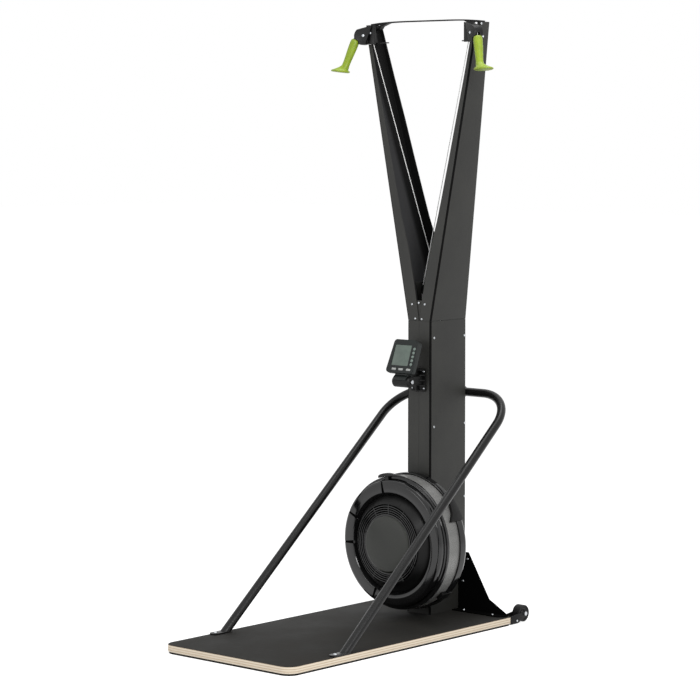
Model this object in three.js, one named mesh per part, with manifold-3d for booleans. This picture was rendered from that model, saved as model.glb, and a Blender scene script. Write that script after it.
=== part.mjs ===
// A ski trainer machine: a standing board, a sheet metal column with two arms, pull cords over
// pulley heads, and an air flywheel in a round housing. Millimetres, +X to the user's right,
// +Y away from the user, +Z up, with the floor at z = 0.
import * as THREE from 'three';
import { mergeVertices } from 'three/addons/utils/BufferGeometryUtils.js';
import Module from 'manifold-3d';

const wasm = await Module();
wasm.setup();

// Fits that every piece shares
const gap = 0.3;
const overrun = 4;
const weldDistance = 0.0005;
const flatTolerance = 0.02;

// Standing board and the pad under it
const deckWidth = 596;
const deckLength = 1193;
const plyThickness = 24;
const deckFrontCorner = 45;
const deckRearCorner = 8;
const deckEase = 1.5;
const padThickness = 6.7;
const padInset = 4;

// Column of two sheet channels
const columnWidth = 110;
const columnDepth = 208;
const columnSetback = 172;
const columnTop = 1104;
const sheet = 3;
const sheetBend = 6;
const seamGap = 1.2;

// Arms that carry on from the column
const armTop = 2200;
const armSpread = 213;
const armTopDepth = 77;
const frontFlangeShares = [[0, 0.96], [0.07, 1.02], [0.15, 1.03], [0.24, 0.99], [0.34, 0.78],
  [0.41, 0.7], [0.54, 0.59], [0.68, 0.49], [0.82, 0.38], [1, 0.31]];
const rearFlangeShares = [[0, 0.96], [0.07, 1.05], [0.15, 1.1], [0.24, 1], [0.34, 0.79],
  [0.41, 0.73], [0.54, 0.64], [0.68, 0.57], [0.82, 0.45], [1, 0.34]];

// Plate that joins the arms to the column
const jointPlateLap = 42;
const jointPlateRise = 74;
const jointPlateThickness = 4;

// Folded sheet gussets at the foot of the column
const gussetSheet = 4;
const gussetHeight = 209;
const gussetReach = 230;
const gussetTopReach = 48;
const gussetKneeReach = 145;
const gussetKneeHeight = 52;
const gussetToeHeight = 6;
const gussetSetback = 4;
const gussetFootDepth = 40;
const gussetFootCut = 22;
const gussetSideDepth = 32;
const gussetSideDrop = 60;

// Tube hoop that braces the column
const hoopTubeRadius = 16;
const hoopInset = 26;
const hoopFootInset = 17;
const hoopFoot = 290;
const hoopHeight = 798;
const hoopBend = 150;
const hoopTabLength = 66;
const hoopTabWidth = 34;
const hoopTabThickness = 5;
const hoopStandOff = 3;
const hoopSides = 12;
const saddleWall = 4.5;
const saddleHeight = 92;
const saddleWidth = 64;
const saddlePlate = 4;

// Transport wheels behind the board
const wheelRadius = 30;
const wheelWidth = 34;
const wheelTread = 5;
const wheelRecess = 4;
const wheelHub = 11;
const wheelLift = 2;
const wheelReach = 85;
const axleRadius = 4;
const axleHeadRadius = 7.5;
const axleHeadLength = 4.5;
const forkSheet = 3;
const forkInset = 2;
const forkEnd = 14;
const forkHeight = 30;
const forkToe = 43;
const wheelSideGap = 0.6;

// Pulleys, cords and drums
const cordRadius = 1.5;
const cordSides = 8;
const cordSeat = 0.6;
const returnCordRadius = 3;
const headPulleyRadius = 30;
const headCordRadius = 26;
const pulleyWidth = 10;
const pulleyPinRadius = 4;
const idlerRadius = 21;
const idlerCordRadius = 18;
const leftIdlerRise = 96;
const rightIdlerRise = 111;
const drumCordRadius = 25;
const drumFlangeRadius = 32;
const drumFlange = 3;
const drumGroove = 10;
const returnRadius = 16;
const leftDrumStand = 54;
const rightDrumDepth = 49;

// Pulley heads at the arm tops
const headSeatDrop = 74;
const headPulleyInset = 6;
const headPulleyYStand = 10;
const headPulleyDrop = 41;
const noseYaw = 22;
const noseWidth = 34;
const noseRadius = 33;
const noseOffset = 3;
const noseDrop = 2;
const noseRoot = 34;
const noseRise = 38;
const noseShoulderAngle = 50;
const noseTipAngle = -13;
const noseFootAngle = -66;
const noseHeelAngle = -110;
const headPlateWidth = 39;
const headPlateProud = 9;
const headEar = 6;
const headEarDepth = 40;
const headEarHeight = 42;
const headNotchDepth = 20;
const finLength = 74;
const finThickness = 4;
const finWidth = 22;
const finTipWidth = 8;

// Grips
const gripLeanOut = 16.5;
const gripLeanFront = 14;
const gripDrop = 24.2;
const gripRest = 1.2;
const gripLength = 133;
const gripTopRadius = 14;
const gripNeckRadius = 10.8;
const gripDome = 8;
const gripBaseTilt = 11;
const gripBaseRadius = 34;
const gripBaseOffset = 15;
const gripBaseOvalShare = 1.12;
const gripBore = 2.2;
const gripBoreDepth = 6;

// Idler bracket inside the joint of the arms
const idlerPlate = 4;
const idlerBracketRise = 61;
const idlerBracketHeight = 75;
const idlerBracketDepth = 56;
const shelfReach = 9;

// Bar between the arm tops
const barRise = 12;
const barThickness = 4.5;
const barDepth = 22;
const barBack = 30;
const barGussetReach = 80;
const barGussetDrop = 28;
const barSlotLength = 30;
const barSlotHeight = 9;

// Flywheel, its axis and its housing
const axisHeight = 304;
const shaftRadius = 8;
const shaftFrontStand = 128;
const shaftBore = 14;
const bearingFlangeRadius = 40;
const bearingFlange = 6;
const bearingBossRadius = 24;
const bearingLength = 27;
const fanRadius = 215;
const fanHubRadius = 30;
const fanFrontStand = 124;
const fanDepth = 56;
const fanDisc = 4;
const fanBlade = 3;
const fanBladeCount = 20;
const fanBladeRoot = 58;
const turnSteps = 32;
const fineSteps = 40;
const smallSteps = 18;
const tinySteps = 12;

const coverRadius = 225;
const coverLipRadius = 241;
const coverInnerRadius = 174;
const coverFrontStand = 157;
const coverLipFrontStand = 125;
const coverRearStand = 115.7;
const coverWall = 4;
const coverRingRise = 6;
const coverDish = 16;
const notchInnerWidth = 12;
const notchOuterWidth = 5;
const notchDepth = 3;
const notchAngles = [102, 154.5, 184, 247];

const grilleLandRadius = 148;
const grilleFrontStand = 175;
const grilleWall = 4;
const grilleLandDepth = 9;
const louvreCount = 4;
const louvreWidth = 3.4;
const louvreDepth = 6;
const louvrePitch = 8;
const grilleHubRadius = 109;
const grilleHubWall = 6;
const grilleHubFrontStand = 177;
const grilleHubRearStand = 128;
const spokeCount = 12;
const spokeWidth = 3;

const capFrontStand = 184;
const capWall = 3;
const capEdge = 6;
const capDome = 1;

const screenRadius = 240.5;
const screenWall = 2.5;
const screenRearStand = 59.3;
const rearLipRadius = 247;
const rearBellyRadius = 248.5;
const rearWall = 4;
const rearBellyStand = 35;
const rearShoulderStand = 25;
const rearShoulderRadius = 244;
const rearSlopeRadius = 200;
const rearSlopeStand = 15;
const rearBossRadius = 60;

const damperFrontStand = 135;
const damperThickness = 3;
const damperRadius = 218;
const damperWindowCount = 10;
const damperWindowTurn = 20;
const damperWindowInner = 118;
const damperWindowOuter = 168;
const damperTravel = 35;
const damperRunning = 1;
const leverAngle = 100;
const leverTurn = 16;
const leverStemTurn = 4;
const leverHeight = 9;
const leverDepth = 20;
const leverSlack = 2;
const strapRise = 4;
const strapClipAngle = -46;
const strapClipTurn = 7;
const strapClipReach = 28;
const strapBracketLow = 22.5;
const strapBracketHigh = 43;

// Monitor, its barrel pivot and its bracket
const barrelRadius = 21;
const barrelHalf = 41;
const barrelYStand = 91;
const barrelDrop = 217;
const barrelCapRadius = 9;
const barrelCapLength = 3;
const monitorTilt = 20.7;
const monitorFaceRise = 33;
const monitorFaceFrontStand = 114;
const monitorHeight = 127;
const monitorLowWidth = 124;
const monitorTopWidth = 107;
const monitorX = -4;
const monitorCorner = 13;
const monitorTopDepth = 38;
const monitorLowDepth = 24;
const monitorEdge = 3;
const cradleWall = 5;
const cradleHalf = 30;
const cradleStart = 58;
const cradleEnd = 165;
const lcdWidth = 77;
const lcdHeight = 78;
const lcdOffset = -4;
const lcdLow = 28;
const lcdCorner = 4;
const lcdThickness = 2;
const lcdSink = 1;
const buttonRadius = 5.6;
const buttonX = 49.5;
const buttonLow = 34;
const buttonPitch = 14.7;
const buttonCount = 5;
const keyWidth = 20;
const keyHeight = 8;
const keyLow = 14;
const keyPlaces = [-25, 7, 43];
const buttonProud = 1.6;
const buttonSunk = 2.6;
const buttonTravel = 1.2;
const bracketHalf = 35;
const bracketHeight = 84;
const bracketPlate = 5;
const bracketArmHalf = 20;
const bracketArmHeight = 30;
const bracketRibCount = 5;
const bracketRibThickness = 3;
const bracketRibDepth = 14;

// Sizes that follow from the ones above
const deckTop = padThickness + gap + plyThickness;
const columnHalf = columnWidth / 2;
const columnFront = deckLength - columnSetback;
const columnRear = columnFront + columnDepth;
const leftDrumY = columnRear - leftDrumStand;
const rightDrumY = columnFront + rightDrumDepth;
const columnFoot = deckTop + gap;
const forkOuter = deckWidth / 2 - forkInset;
const hoopHalfWidth = deckWidth / 2 - hoopInset;
const hoopFootHalfWidth = deckWidth / 2 - hoopFootInset;
const headSeat = armTop - headSeatDrop;
const headPulleyX = columnHalf + armSpread - headPulleyInset;
const headPulleyZ = armTop - headPulleyDrop;
const leftIdlerHeight = columnTop + leftIdlerRise;
const rightIdlerHeight = columnTop + rightIdlerRise;
const idlerBracketLow = columnTop + idlerBracketRise;
const idlerBracketHigh = idlerBracketLow + idlerBracketHeight;
const barrelZ = columnTop - barrelDrop;
const monitorFaceLow = barrelZ + monitorFaceRise;
const shaftFront = columnFront - shaftFrontStand;
const fanFront = columnFront - fanFrontStand;
const coverFront = columnFront - coverFrontStand;
const coverLipFront = columnFront - coverLipFrontStand;
const coverRear = columnFront - coverRearStand;
const grilleFront = columnFront - grilleFrontStand;
const grilleHubFront = columnFront - grilleHubFrontStand;
const grilleHubRear = columnFront - grilleHubRearStand;
const capFront = columnFront - capFrontStand;
const screenRear = columnFront - screenRearStand;
const rearBelly = columnFront - rearBellyStand;
const rearShoulder = columnFront - rearShoulderStand;
const rearSlope = columnFront - rearSlopeStand;
const damperFront = columnFront - damperFrontStand;
const barrelY = columnFront - barrelYStand;
const monitorFaceFront = columnFront - monitorFaceFrontStand;
const headPulleyY = columnFront - headPulleyYStand;
const rad = THREE.MathUtils.degToRad;
const fullTurn = 360;

// Closed mesh helpers
function signedVolume(geometry) {
  const p = geometry.attributes.position;
  const index = geometry.index;
  const a = new THREE.Vector3();
  const b = new THREE.Vector3();
  const c = new THREE.Vector3();
  let volume = 0;
  for (let i = 0; i < index.count; i += 3) {
    a.fromBufferAttribute(p, index.getX(i));
    b.fromBufferAttribute(p, index.getX(i + 1));
    c.fromBufferAttribute(p, index.getX(i + 2));
    volume += a.dot(b.cross(c));
  }
  return volume;
}

function welded(geometry) {
  const bare = geometry.clone();
  bare.deleteAttribute('normal');
  bare.deleteAttribute('uv');
  const merged = mergeVertices(bare, weldDistance);
  const kept = [];
  const index = merged.index;
  for (let i = 0; i < index.count; i += 3) {
    const [a, b, c] = [index.getX(i), index.getX(i + 1), index.getX(i + 2)];
    if (a !== b && b !== c && c !== a) kept.push(a, b, c);
  }
  merged.setIndex(kept);
  if (signedVolume(merged) < 0) {
    for (let i = 0; i < kept.length; i += 3) [kept[i], kept[i + 1]] = [kept[i + 1], kept[i]];
    merged.setIndex(kept);
  }
  return merged;
}

function solid(geometry) {
  const merged = welded(geometry);
  return new wasm.Manifold(new wasm.Mesh({
    numProp: 3,
    vertProperties: new Float32Array(merged.attributes.position.array),
    triVerts: new Uint32Array(merged.index.array),
  }));
}

function meshGeometry(body) {
  const mesh = body.getMesh();
  const geometry = new THREE.BufferGeometry();
  geometry.setAttribute('position', new THREE.BufferAttribute(mesh.vertProperties, 3));
  geometry.setIndex(new THREE.BufferAttribute(mesh.triVerts, 1));
  geometry.computeVertexNormals();
  return geometry;
}

function joined(...bodies) {
  return bodies.reduce((sum, body) => sum.add(body));
}

function mirrored(body) {
  return solid(meshGeometry(body).applyMatrix4(new THREE.Matrix4().makeScale(-1, 1, 1)));
}

function placed(body, matrix) {
  return solid(meshGeometry(body).applyMatrix4(matrix));
}

// Extrusions of a flat outline along one axis
function outline(points) {
  if (points instanceof THREE.Shape) return points;
  return new THREE.Shape(points.map(([x, y]) => new THREE.Vector2(x, y)));
}

function extruded(points, depth, curveSegments = 3) {
  return new THREE.ExtrudeGeometry(outline(points), { depth, bevelEnabled: false, curveSegments });
}

function alongX(points, from, to) {
  const turn = new THREE.Matrix4().makeBasis(
    new THREE.Vector3(0, 1, 0), new THREE.Vector3(0, 0, 1), new THREE.Vector3(1, 0, 0));
  return solid(extruded(points, to - from).applyMatrix4(turn).translate(from, 0, 0));
}

function alongY(points, from, to, curveSegments) {
  return solid(extruded(points, to - from, curveSegments).rotateX(Math.PI / 2).translate(0, to, 0));
}

function alongZ(points, from, to) {
  return solid(extruded(points, to - from).translate(0, 0, from));
}

function block(x0, x1, y0, y1, z0, z1) {
  return alongZ([[x0, y0], [x1, y0], [x1, y1], [x0, y1]], z0, z1);
}

// A turned piece about the Y axis, from [radius, y] points that close on themselves or on the axis
function turned(profile, steps = turnSteps) {
  const points = profile.map(([radius, y]) => new THREE.Vector2(radius, y));
  if (profile[0][0] > 0) points.push(points[0].clone());
  return solid(new THREE.LatheGeometry(points, steps));
}

function onAxis(body) {
  return placed(body, new THREE.Matrix4().makeTranslation(0, 0, axisHeight));
}

// A flat ring, or a sector of one, in the XZ plane
function sectorShape(inner, outer, startAngle, endAngle) {
  const shape = new THREE.Shape();
  shape.absarc(0, 0, outer, rad(startAngle), rad(endAngle), false);
  shape.absarc(0, 0, inner, rad(endAngle), rad(startAngle), true);
  return shape;
}

function circleShape(radius, x = 0, y = 0) {
  const shape = new THREE.Shape();
  for (let i = 0; i < 4; i += 1) {
    shape.absarc(x, y, radius, (i * Math.PI) / 2, ((i + 1) * Math.PI) / 2, false);
  }
  return shape;
}

function roundedShape(x0, x1, y0, y1, lowCorner, highCorner = lowCorner) {
  const shape = new THREE.Shape();
  shape.absarc(x1 - lowCorner, y0 + lowCorner, lowCorner, -Math.PI / 2, 0, false);
  shape.absarc(x1 - highCorner, y1 - highCorner, highCorner, 0, Math.PI / 2, false);
  shape.absarc(x0 + highCorner, y1 - highCorner, highCorner, Math.PI / 2, Math.PI, false);
  shape.absarc(x0 + lowCorner, y0 + lowCorner, lowCorner, Math.PI, 1.5 * Math.PI, false);
  return shape;
}

// A loft through rings of points that run counter-clockwise as seen from above
function loft(rings) {
  const count = rings[0].length;
  const positions = rings.flatMap((ring) => ring.flatMap((p) => [p.x, p.y, p.z]));
  const index = [];
  for (let i = 0; i + 1 < rings.length; i += 1) {
    for (let k = 0; k < count; k += 1) {
      const a = i * count + k;
      const b = i * count + ((k + 1) % count);
      index.push(a, b, b + count, a, b + count, a + count);
    }
  }
  const flat = rings[0].map((p) => new THREE.Vector2(p.x, p.y));
  const last = (rings.length - 1) * count;
  for (const [a, b, c] of THREE.ShapeUtils.triangulateShape(flat, [])) index.push(c, b, a);
  const flatTop = rings[rings.length - 1].map((p) => new THREE.Vector2(p.x, p.y));
  for (const [a, b, c] of THREE.ShapeUtils.triangulateShape(flatTop, [])) {
    index.push(last + a, last + b, last + c);
  }
  const geometry = new THREE.BufferGeometry();
  geometry.setAttribute('position', new THREE.Float32BufferAttribute(positions, 3));
  geometry.setIndex(index);
  return solid(geometry);
}

// A route of hand-placed points: an extruded section gets one ring at each of them
class Route extends THREE.Curve {
  constructor(points) {
    super();
    this.points = points;
  }

  getPoint(t) {
    const at = t * (this.points.length - 1);
    const low = Math.min(Math.floor(at), this.points.length - 2);
    return this.points[low].clone().lerp(this.points[low + 1], at - low);
  }

  getPointAt(u) {
    return this.getPoint(u);
  }

  getSpacedPoints() {
    return this.points.map((p) => p.clone());
  }

  getTangentAt(u) {
    const at = Math.round(u * (this.points.length - 1));
    const before = this.points[Math.max(at - 1, 0)];
    const after = this.points[Math.min(at + 1, this.points.length - 1)];
    const here = this.points[at];
    const into = here.clone().sub(before).normalize();
    const out = after.clone().sub(here).normalize();
    return into.add(out).normalize();
  }
}

function tube(points, radius, sides) {
  const section = new THREE.Shape();
  for (let i = 0; i < sides; i += 1) {
    const angle = (2 * Math.PI * i) / sides;
    const [x, y] = [radius * Math.cos(angle), radius * Math.sin(angle)];
    if (i === 0) section.moveTo(x, y);
    else section.lineTo(x, y);
  }
  return solid(new THREE.ExtrudeGeometry(section, {
    steps: points.length - 1,
    extrudePath: new Route(points),
    bevelEnabled: false,
  }));
}

function atShare(table, share) {
  for (let i = 1; i < table.length; i += 1) {
    const [low, lowValue] = table[i - 1];
    const [high, highValue] = table[i];
    if (share <= high) return lowValue + ((highValue - lowValue) * (share - low)) / (high - low);
  }
  return table[table.length - 1][1];
}

// Standing board
function deckShape(inset) {
  const half = deckWidth / 2 - inset;
  return roundedShape(-half, half, inset, deckLength - inset, deckFrontCorner - inset, deckRearCorner);
}

function platformBoard() {
  const board = new THREE.ExtrudeGeometry(deckShape(0), {
    depth: plyThickness - 2 * deckEase,
    bevelThickness: deckEase,
    bevelSize: deckEase,
    bevelOffset: -deckEase,
    bevelSegments: 1,
    curveSegments: 4,
  });
  return solid(board.translate(0, 0, padThickness + gap + deckEase));
}

function basePad() {
  return alongZ(deckShape(padInset), 0, padThickness);
}

// A folded channel: front flange, bend, web, bend, rear flange
function channelRing(z, half, front, rear, frontEdge, rearEdge) {
  const ring = [];
  const bendSteps = 2;
  const corner = (cx, cy, radius, start, step) => {
    for (let i = 0; i <= bendSteps; i += 1) {
      const angle = start + (step * i * Math.PI) / (2 * bendSteps);
      ring.push(new THREE.Vector3(cx + radius * Math.cos(angle), cy + radius * Math.sin(angle), z));
    }
  };
  const inner = sheetBend - sheet;
  ring.push(new THREE.Vector3(frontEdge, front, z));
  corner(half - sheetBend, front + sheetBend, sheetBend, -Math.PI / 2, 1);
  corner(half - sheetBend, rear - sheetBend, sheetBend, 0, 1);
  ring.push(new THREE.Vector3(rearEdge, rear, z));
  ring.push(new THREE.Vector3(rearEdge, rear - sheet, z));
  corner(half - sheetBend, rear - sheetBend, inner, Math.PI / 2, -1);
  corner(half - sheetBend, front + sheetBend, inner, 0, -1);
  ring.push(new THREE.Vector3(frontEdge, front + sheet, z));
  return ring;
}

function columnChannel() {
  const ring = (z) => channelRing(z, columnHalf, columnFront, columnRear, seamGap / 2, seamGap / 2);
  const hole = alongY(circleShape(shaftBore, 0, axisHeight),
    columnFront - overrun, columnFront + sheet + overrun);
  return loft([ring(columnFoot), ring(columnTop)]).subtract(hole);
}

// Arm: the web leans out and its rear edge comes forward with height
function armShare(z) {
  return (z - columnTop) / (armTop - columnTop);
}

function armHalf(z) {
  return columnHalf + armSpread * armShare(z);
}

function armInner(z) {
  return armHalf(z) - sheet - gap;
}

function armRear(z) {
  return columnRear - (columnDepth - armTopDepth) * armShare(z);
}

function armChannel() {
  const shares = [...new Set([...frontFlangeShares, ...rearFlangeShares].map(([share]) => share))];
  shares.sort((a, b) => a - b);
  const base = columnTop + gap;
  const rings = shares.map((share) => {
    const z = base + share * (armTop - base);
    const half = armHalf(z);
    return channelRing(z, half, columnFront, armRear(z),
      half - columnHalf * atShare(frontFlangeShares, share),
      half - columnHalf * atShare(rearFlangeShares, share));
  });
  const seat = block(0, armHalf(armTop) + overrun, columnFront - overrun,
    columnFront + headNotchDepth + gap, headSeat, armTop + overrun);
  return loft(rings).subtract(seat);
}

function armJointPlate() {
  const low = columnTop - jointPlateLap;
  const high = columnTop + jointPlateRise;
  const lowHalf = columnHalf - sheetBend;
  const highHalf = armHalf(high) - sheetBend;
  const front = columnFront + sheet + gap;
  return alongY([[-lowHalf, low], [lowHalf, low], [lowHalf, columnTop], [highHalf, high],
    [-highHalf, high], [-lowHalf, columnTop]], front, front + jointPlateThickness);
}

// Gusset: a wing across, a foot flange on the board and a flange on the column's side
function gusset() {
  const near = columnHalf + gap;
  const rear = deckLength - gussetSetback;
  const foot = deckTop + gap;
  const wing = alongY([[near, foot], [near + gussetReach, foot],
    [near + gussetReach, foot + gussetToeHeight], [near + gussetKneeReach, foot + gussetKneeHeight],
    [near + gussetTopReach, foot + gussetHeight], [near, foot + gussetHeight]], rear - gussetSheet, rear);
  const side = alongX([[rear - gussetSheet, foot], [rear + gussetSideDepth, foot],
    [rear + gussetSideDepth, foot + gussetHeight - gussetSideDrop],
    [rear - gussetSheet, foot + gussetHeight]], near, near + gussetSheet);
  const flange = alongZ([[near, rear - gussetFootDepth],
    [near + gussetReach - gussetFootCut, rear - gussetFootDepth],
    [near + gussetReach, rear - gussetFootDepth + gussetFootCut], [near + gussetReach, rear], [near, rear]],
  foot, foot + gussetSheet);
  return joined(wing, side, flange);
}

// Hoop: one tube bent in a slanted plane, with a flat tab at each foot
const hoopRun = columnRear + hoopStandOff + hoopTubeRadius - hoopFoot;
const hoopSlope = Math.atan2(hoopHeight, hoopRun);
const hoopLength = Math.hypot(hoopHeight, hoopRun);

function hoopPoint(x, along) {
  return new THREE.Vector3(x, hoopFoot + along * Math.cos(hoopSlope),
    deckTop + along * Math.sin(hoopSlope));
}

function supportHoop() {
  const arcSteps = 7;
  const start = -hoopTubeRadius;
  const right = [hoopPoint(hoopFootHalfWidth, start)];
  for (let i = 0; i <= arcSteps; i += 1) {
    const angle = (i * Math.PI) / (2 * arcSteps);
    right.push(hoopPoint(hoopHalfWidth - hoopBend + hoopBend * Math.cos(angle),
      hoopLength - hoopBend + hoopBend * Math.sin(angle)));
  }
  const left = right.map((p) => new THREE.Vector3(-p.x, p.y, p.z)).reverse();
  const foot = deckTop + gap;
  const below = block(-deckWidth, deckWidth, hoopFoot - deckWidth, hoopFoot + deckWidth, 0, foot);
  const tab = (x) => {
    const half = hoopTabWidth / 2;
    const heel = hoopFoot + hoopTubeRadius;
    const toe = hoopFoot - hoopTabLength;
    return alongZ(roundedShape(x - half, x + half, toe, heel, half, hoopTabThickness),
      foot, foot + hoopTabThickness);
  };
  const bent = tube([...right, ...left], hoopTubeRadius, hoopSides).subtract(below);
  return joined(bent, tab(hoopFootHalfWidth), tab(-hoopFootHalfWidth));
}

function hoopSaddle() {
  const y = hoopFoot + hoopRun;
  const z = deckTop + hoopHeight;
  const face = columnRear + gap;
  const half = saddleWidth / 2;
  const plate = block(-half, half, face, face + saddlePlate, z - saddleHeight / 2, z + saddleHeight / 2);
  const sleeve = alongX(circleShape(hoopTubeRadius + gap + saddleWall, y, z), -half, half);
  const front = block(-half - overrun, half + overrun, face - saddleHeight, face,
    z - saddleHeight, z + saddleHeight);
  const bore = alongX(circleShape(hoopTubeRadius + gap, y, z), -half - overrun, half + overrun);
  return joined(plate, sleeve).subtract(front).subtract(bore);
}

// Transport wheel, fork and axle
const wheelY = deckLength + wheelReach;
const wheelZ = wheelRadius + wheelLift;
const forkInnerFace = forkOuter - forkSheet;
const wheelOuterFace = forkInnerFace - wheelSideGap;
const wheelX = wheelOuterFace - wheelWidth / 2;
const forkNear = wheelOuterFace - wheelWidth - wheelSideGap - forkSheet;

function wheelFork() {
  const rear = deckLength + gap;
  const cheek = [[rear, wheelLift], [rear + forkToe, wheelLift],
    [wheelY + forkEnd * Math.sin(Math.PI / 4), wheelZ - forkEnd * Math.cos(Math.PI / 4)],
    [wheelY, wheelZ + forkEnd], [wheelY - forkEnd, wheelZ + forkEnd / 2], [rear, forkHeight]];
  const side = (from) => joined(alongX(cheek, from, from + forkSheet),
    alongX(circleShape(forkEnd, wheelY, wheelZ), from, from + forkSheet));
  const web = block(forkNear, forkOuter, rear, rear + forkSheet, wheelLift, forkHeight);
  const bore = alongX(circleShape(axleRadius + gap, wheelY, wheelZ),
    forkNear - overrun, forkOuter + overrun);
  return joined(side(forkNear), side(forkInnerFace), web).subtract(bore);
}

function turnedAlongX(profile, x, steps) {
  const matrix = new THREE.Matrix4().makeTranslation(x, wheelY, wheelZ)
    .multiply(new THREE.Matrix4().makeRotationZ(-Math.PI / 2));
  return placed(turned(profile, steps), matrix);
}

function transportWheel() {
  const half = wheelWidth / 2;
  const bore = axleRadius + gap;
  const rim = wheelRadius - wheelTread;
  return turnedAlongX([[bore, -half], [wheelHub, -half], [wheelHub + wheelRecess, wheelRecess - half],
    [rim - wheelRecess, wheelRecess - half], [wheelRadius - deckEase, -half],
    [wheelRadius, deckEase - half], [wheelRadius, half - deckEase], [wheelRadius - deckEase, half],
    [rim - wheelRecess, half - wheelRecess], [wheelHub + wheelRecess, half - wheelRecess],
    [wheelHub, half], [bore, half]], wheelX, smallSteps);
}

function wheelAxle() {
  const low = forkNear - gap - wheelX;
  const high = forkOuter + gap - wheelX;
  return turnedAlongX([[0, low - axleHeadLength], [axleHeadRadius, low - axleHeadLength],
    [axleHeadRadius, low], [axleRadius, low], [axleRadius, high], [axleHeadRadius, high],
    [axleHeadRadius, high + axleHeadLength], [0, high + axleHeadLength]], wheelX, tinySteps);
}

// Directions of the head's nose, the grip and the cord down the arm
const outward = new THREE.Vector3(Math.cos(rad(noseYaw)), -Math.sin(rad(noseYaw)), 0);
const up = new THREE.Vector3(0, 0, 1);
const headCentre = new THREE.Vector3(headPulleyX, headPulleyY, headPulleyZ);
const gripAxis = new THREE.Vector3(Math.tan(rad(gripLeanOut)), -Math.tan(rad(gripLeanFront)), -1);
gripAxis.normalize();
const headMatrix = new THREE.Matrix4().makeTranslation(headCentre.x, headCentre.y, headCentre.z)
  .multiply(new THREE.Matrix4().makeRotationZ(-rad(noseYaw)));

function headPoint(angle, radius = headCordRadius) {
  return headCentre.clone().addScaledVector(outward, radius * Math.cos(angle))
    .addScaledVector(up, radius * Math.sin(angle));
}

// The angle round the head pulley at which a straight run along a direction touches it
function tangentAngle(direction, side) {
  const lean = Math.atan2(side * direction.dot(outward), -direction.z);
  return side > 0 ? lean : Math.PI - lean;
}

function returnCordY(drumY) {
  return drumY + drumGroove + drumFlange;
}

const gripTangent = tangentAngle(gripAxis, 1);
const cordExit = headPoint(gripTangent);
const gripTop = cordExit.clone().addScaledVector(gripAxis, gripDrop);

const leftIdler = new THREE.Vector3(-drumCordRadius - idlerCordRadius, leftDrumY, leftIdlerHeight);
const rightIdler = new THREE.Vector3(-drumCordRadius + idlerCordRadius, rightDrumY, rightIdlerHeight);

// Cord from the nose over the head pulley, down the arm, round its idler and down to its drum.
// The left arm is the mirror of the right one at its head, so head points take a side of 1 or -1.
function armCordRoute(side, idler, idlerSide) {
  const mirror = (p) => new THREE.Vector3(side * p.x, p.y, p.z);
  const run = idler.clone().sub(mirror(headCentre));
  const inHead = new THREE.Vector3(side * run.x, run.y, run.z).normalize();
  const leave = tangentAngle(inHead, -1);
  const points = [];
  const headSteps = 10;
  for (let i = 0; i <= headSteps; i += 1) {
    const angle = gripTangent + ((leave - gripTangent) * i) / headSteps;
    points.push(mirror(headPoint(angle)));
  }
  const lean = Math.atan2(Math.abs(run.x), -run.z);
  const idlerSteps = 2;
  for (let i = 0; i <= idlerSteps; i += 1) {
    const angle = lean * (1 - i / idlerSteps);
    points.push(new THREE.Vector3(idler.x + idlerSide * idlerCordRadius * Math.cos(angle), idler.y,
      idler.z + idlerCordRadius * Math.sin(angle)));
  }
  const drumSteps = 8;
  for (let i = 0; i <= drumSteps; i += 1) {
    const angle = (-Math.PI * i) / drumSteps;
    points.push(new THREE.Vector3(-drumCordRadius * Math.cos(angle), idler.y,
      axisHeight + drumCordRadius * Math.sin(angle)));
  }
  return points;
}

function armCord(side, idler, idlerSide) {
  return tube(armCordRoute(side, idler, idlerSide), cordRadius, cordSides);
}

function pullCord() {
  const start = cordExit.clone().addScaledVector(gripAxis, gap);
  const end = gripTop.clone().addScaledVector(gripAxis, gripBoreDepth - gap);
  return tube([start, end], cordRadius, cordSides);
}

// Head: cheeks round the pulley, a front plate, an ear inside the arm and a cord guide
function noseShape() {
  const shape = new THREE.Shape();
  const foot = rad(noseFootAngle);
  const tip = rad(noseTipAngle);
  const shoulder = rad(noseShoulderAngle);
  const [cx, cz] = [noseOffset, -noseDrop];
  const face = gripDrop - gripRest;
  const along = Math.cos(gripTangent);
  const across = Math.sin(gripTangent);
  const topCentre = [headCordRadius * along + face * across, headCordRadius * across - face * along];
  const reach = gripTopRadius + gap;
  shape.moveTo(-noseRoot, cz - noseRadius + noseOffset * 2);
  shape.absarc(cx, cz, noseRadius, rad(noseHeelAngle), foot, false);
  shape.lineTo(topCentre[0] - reach * along, topCentre[1] - reach * across);
  shape.lineTo(topCentre[0] + (reach / 2) * along, topCentre[1] + (reach / 2) * across);
  shape.absarc(cx, cz, noseRadius, tip, shoulder, false);
  shape.lineTo(-noseRoot, noseRise);
  return shape;
}

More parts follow.
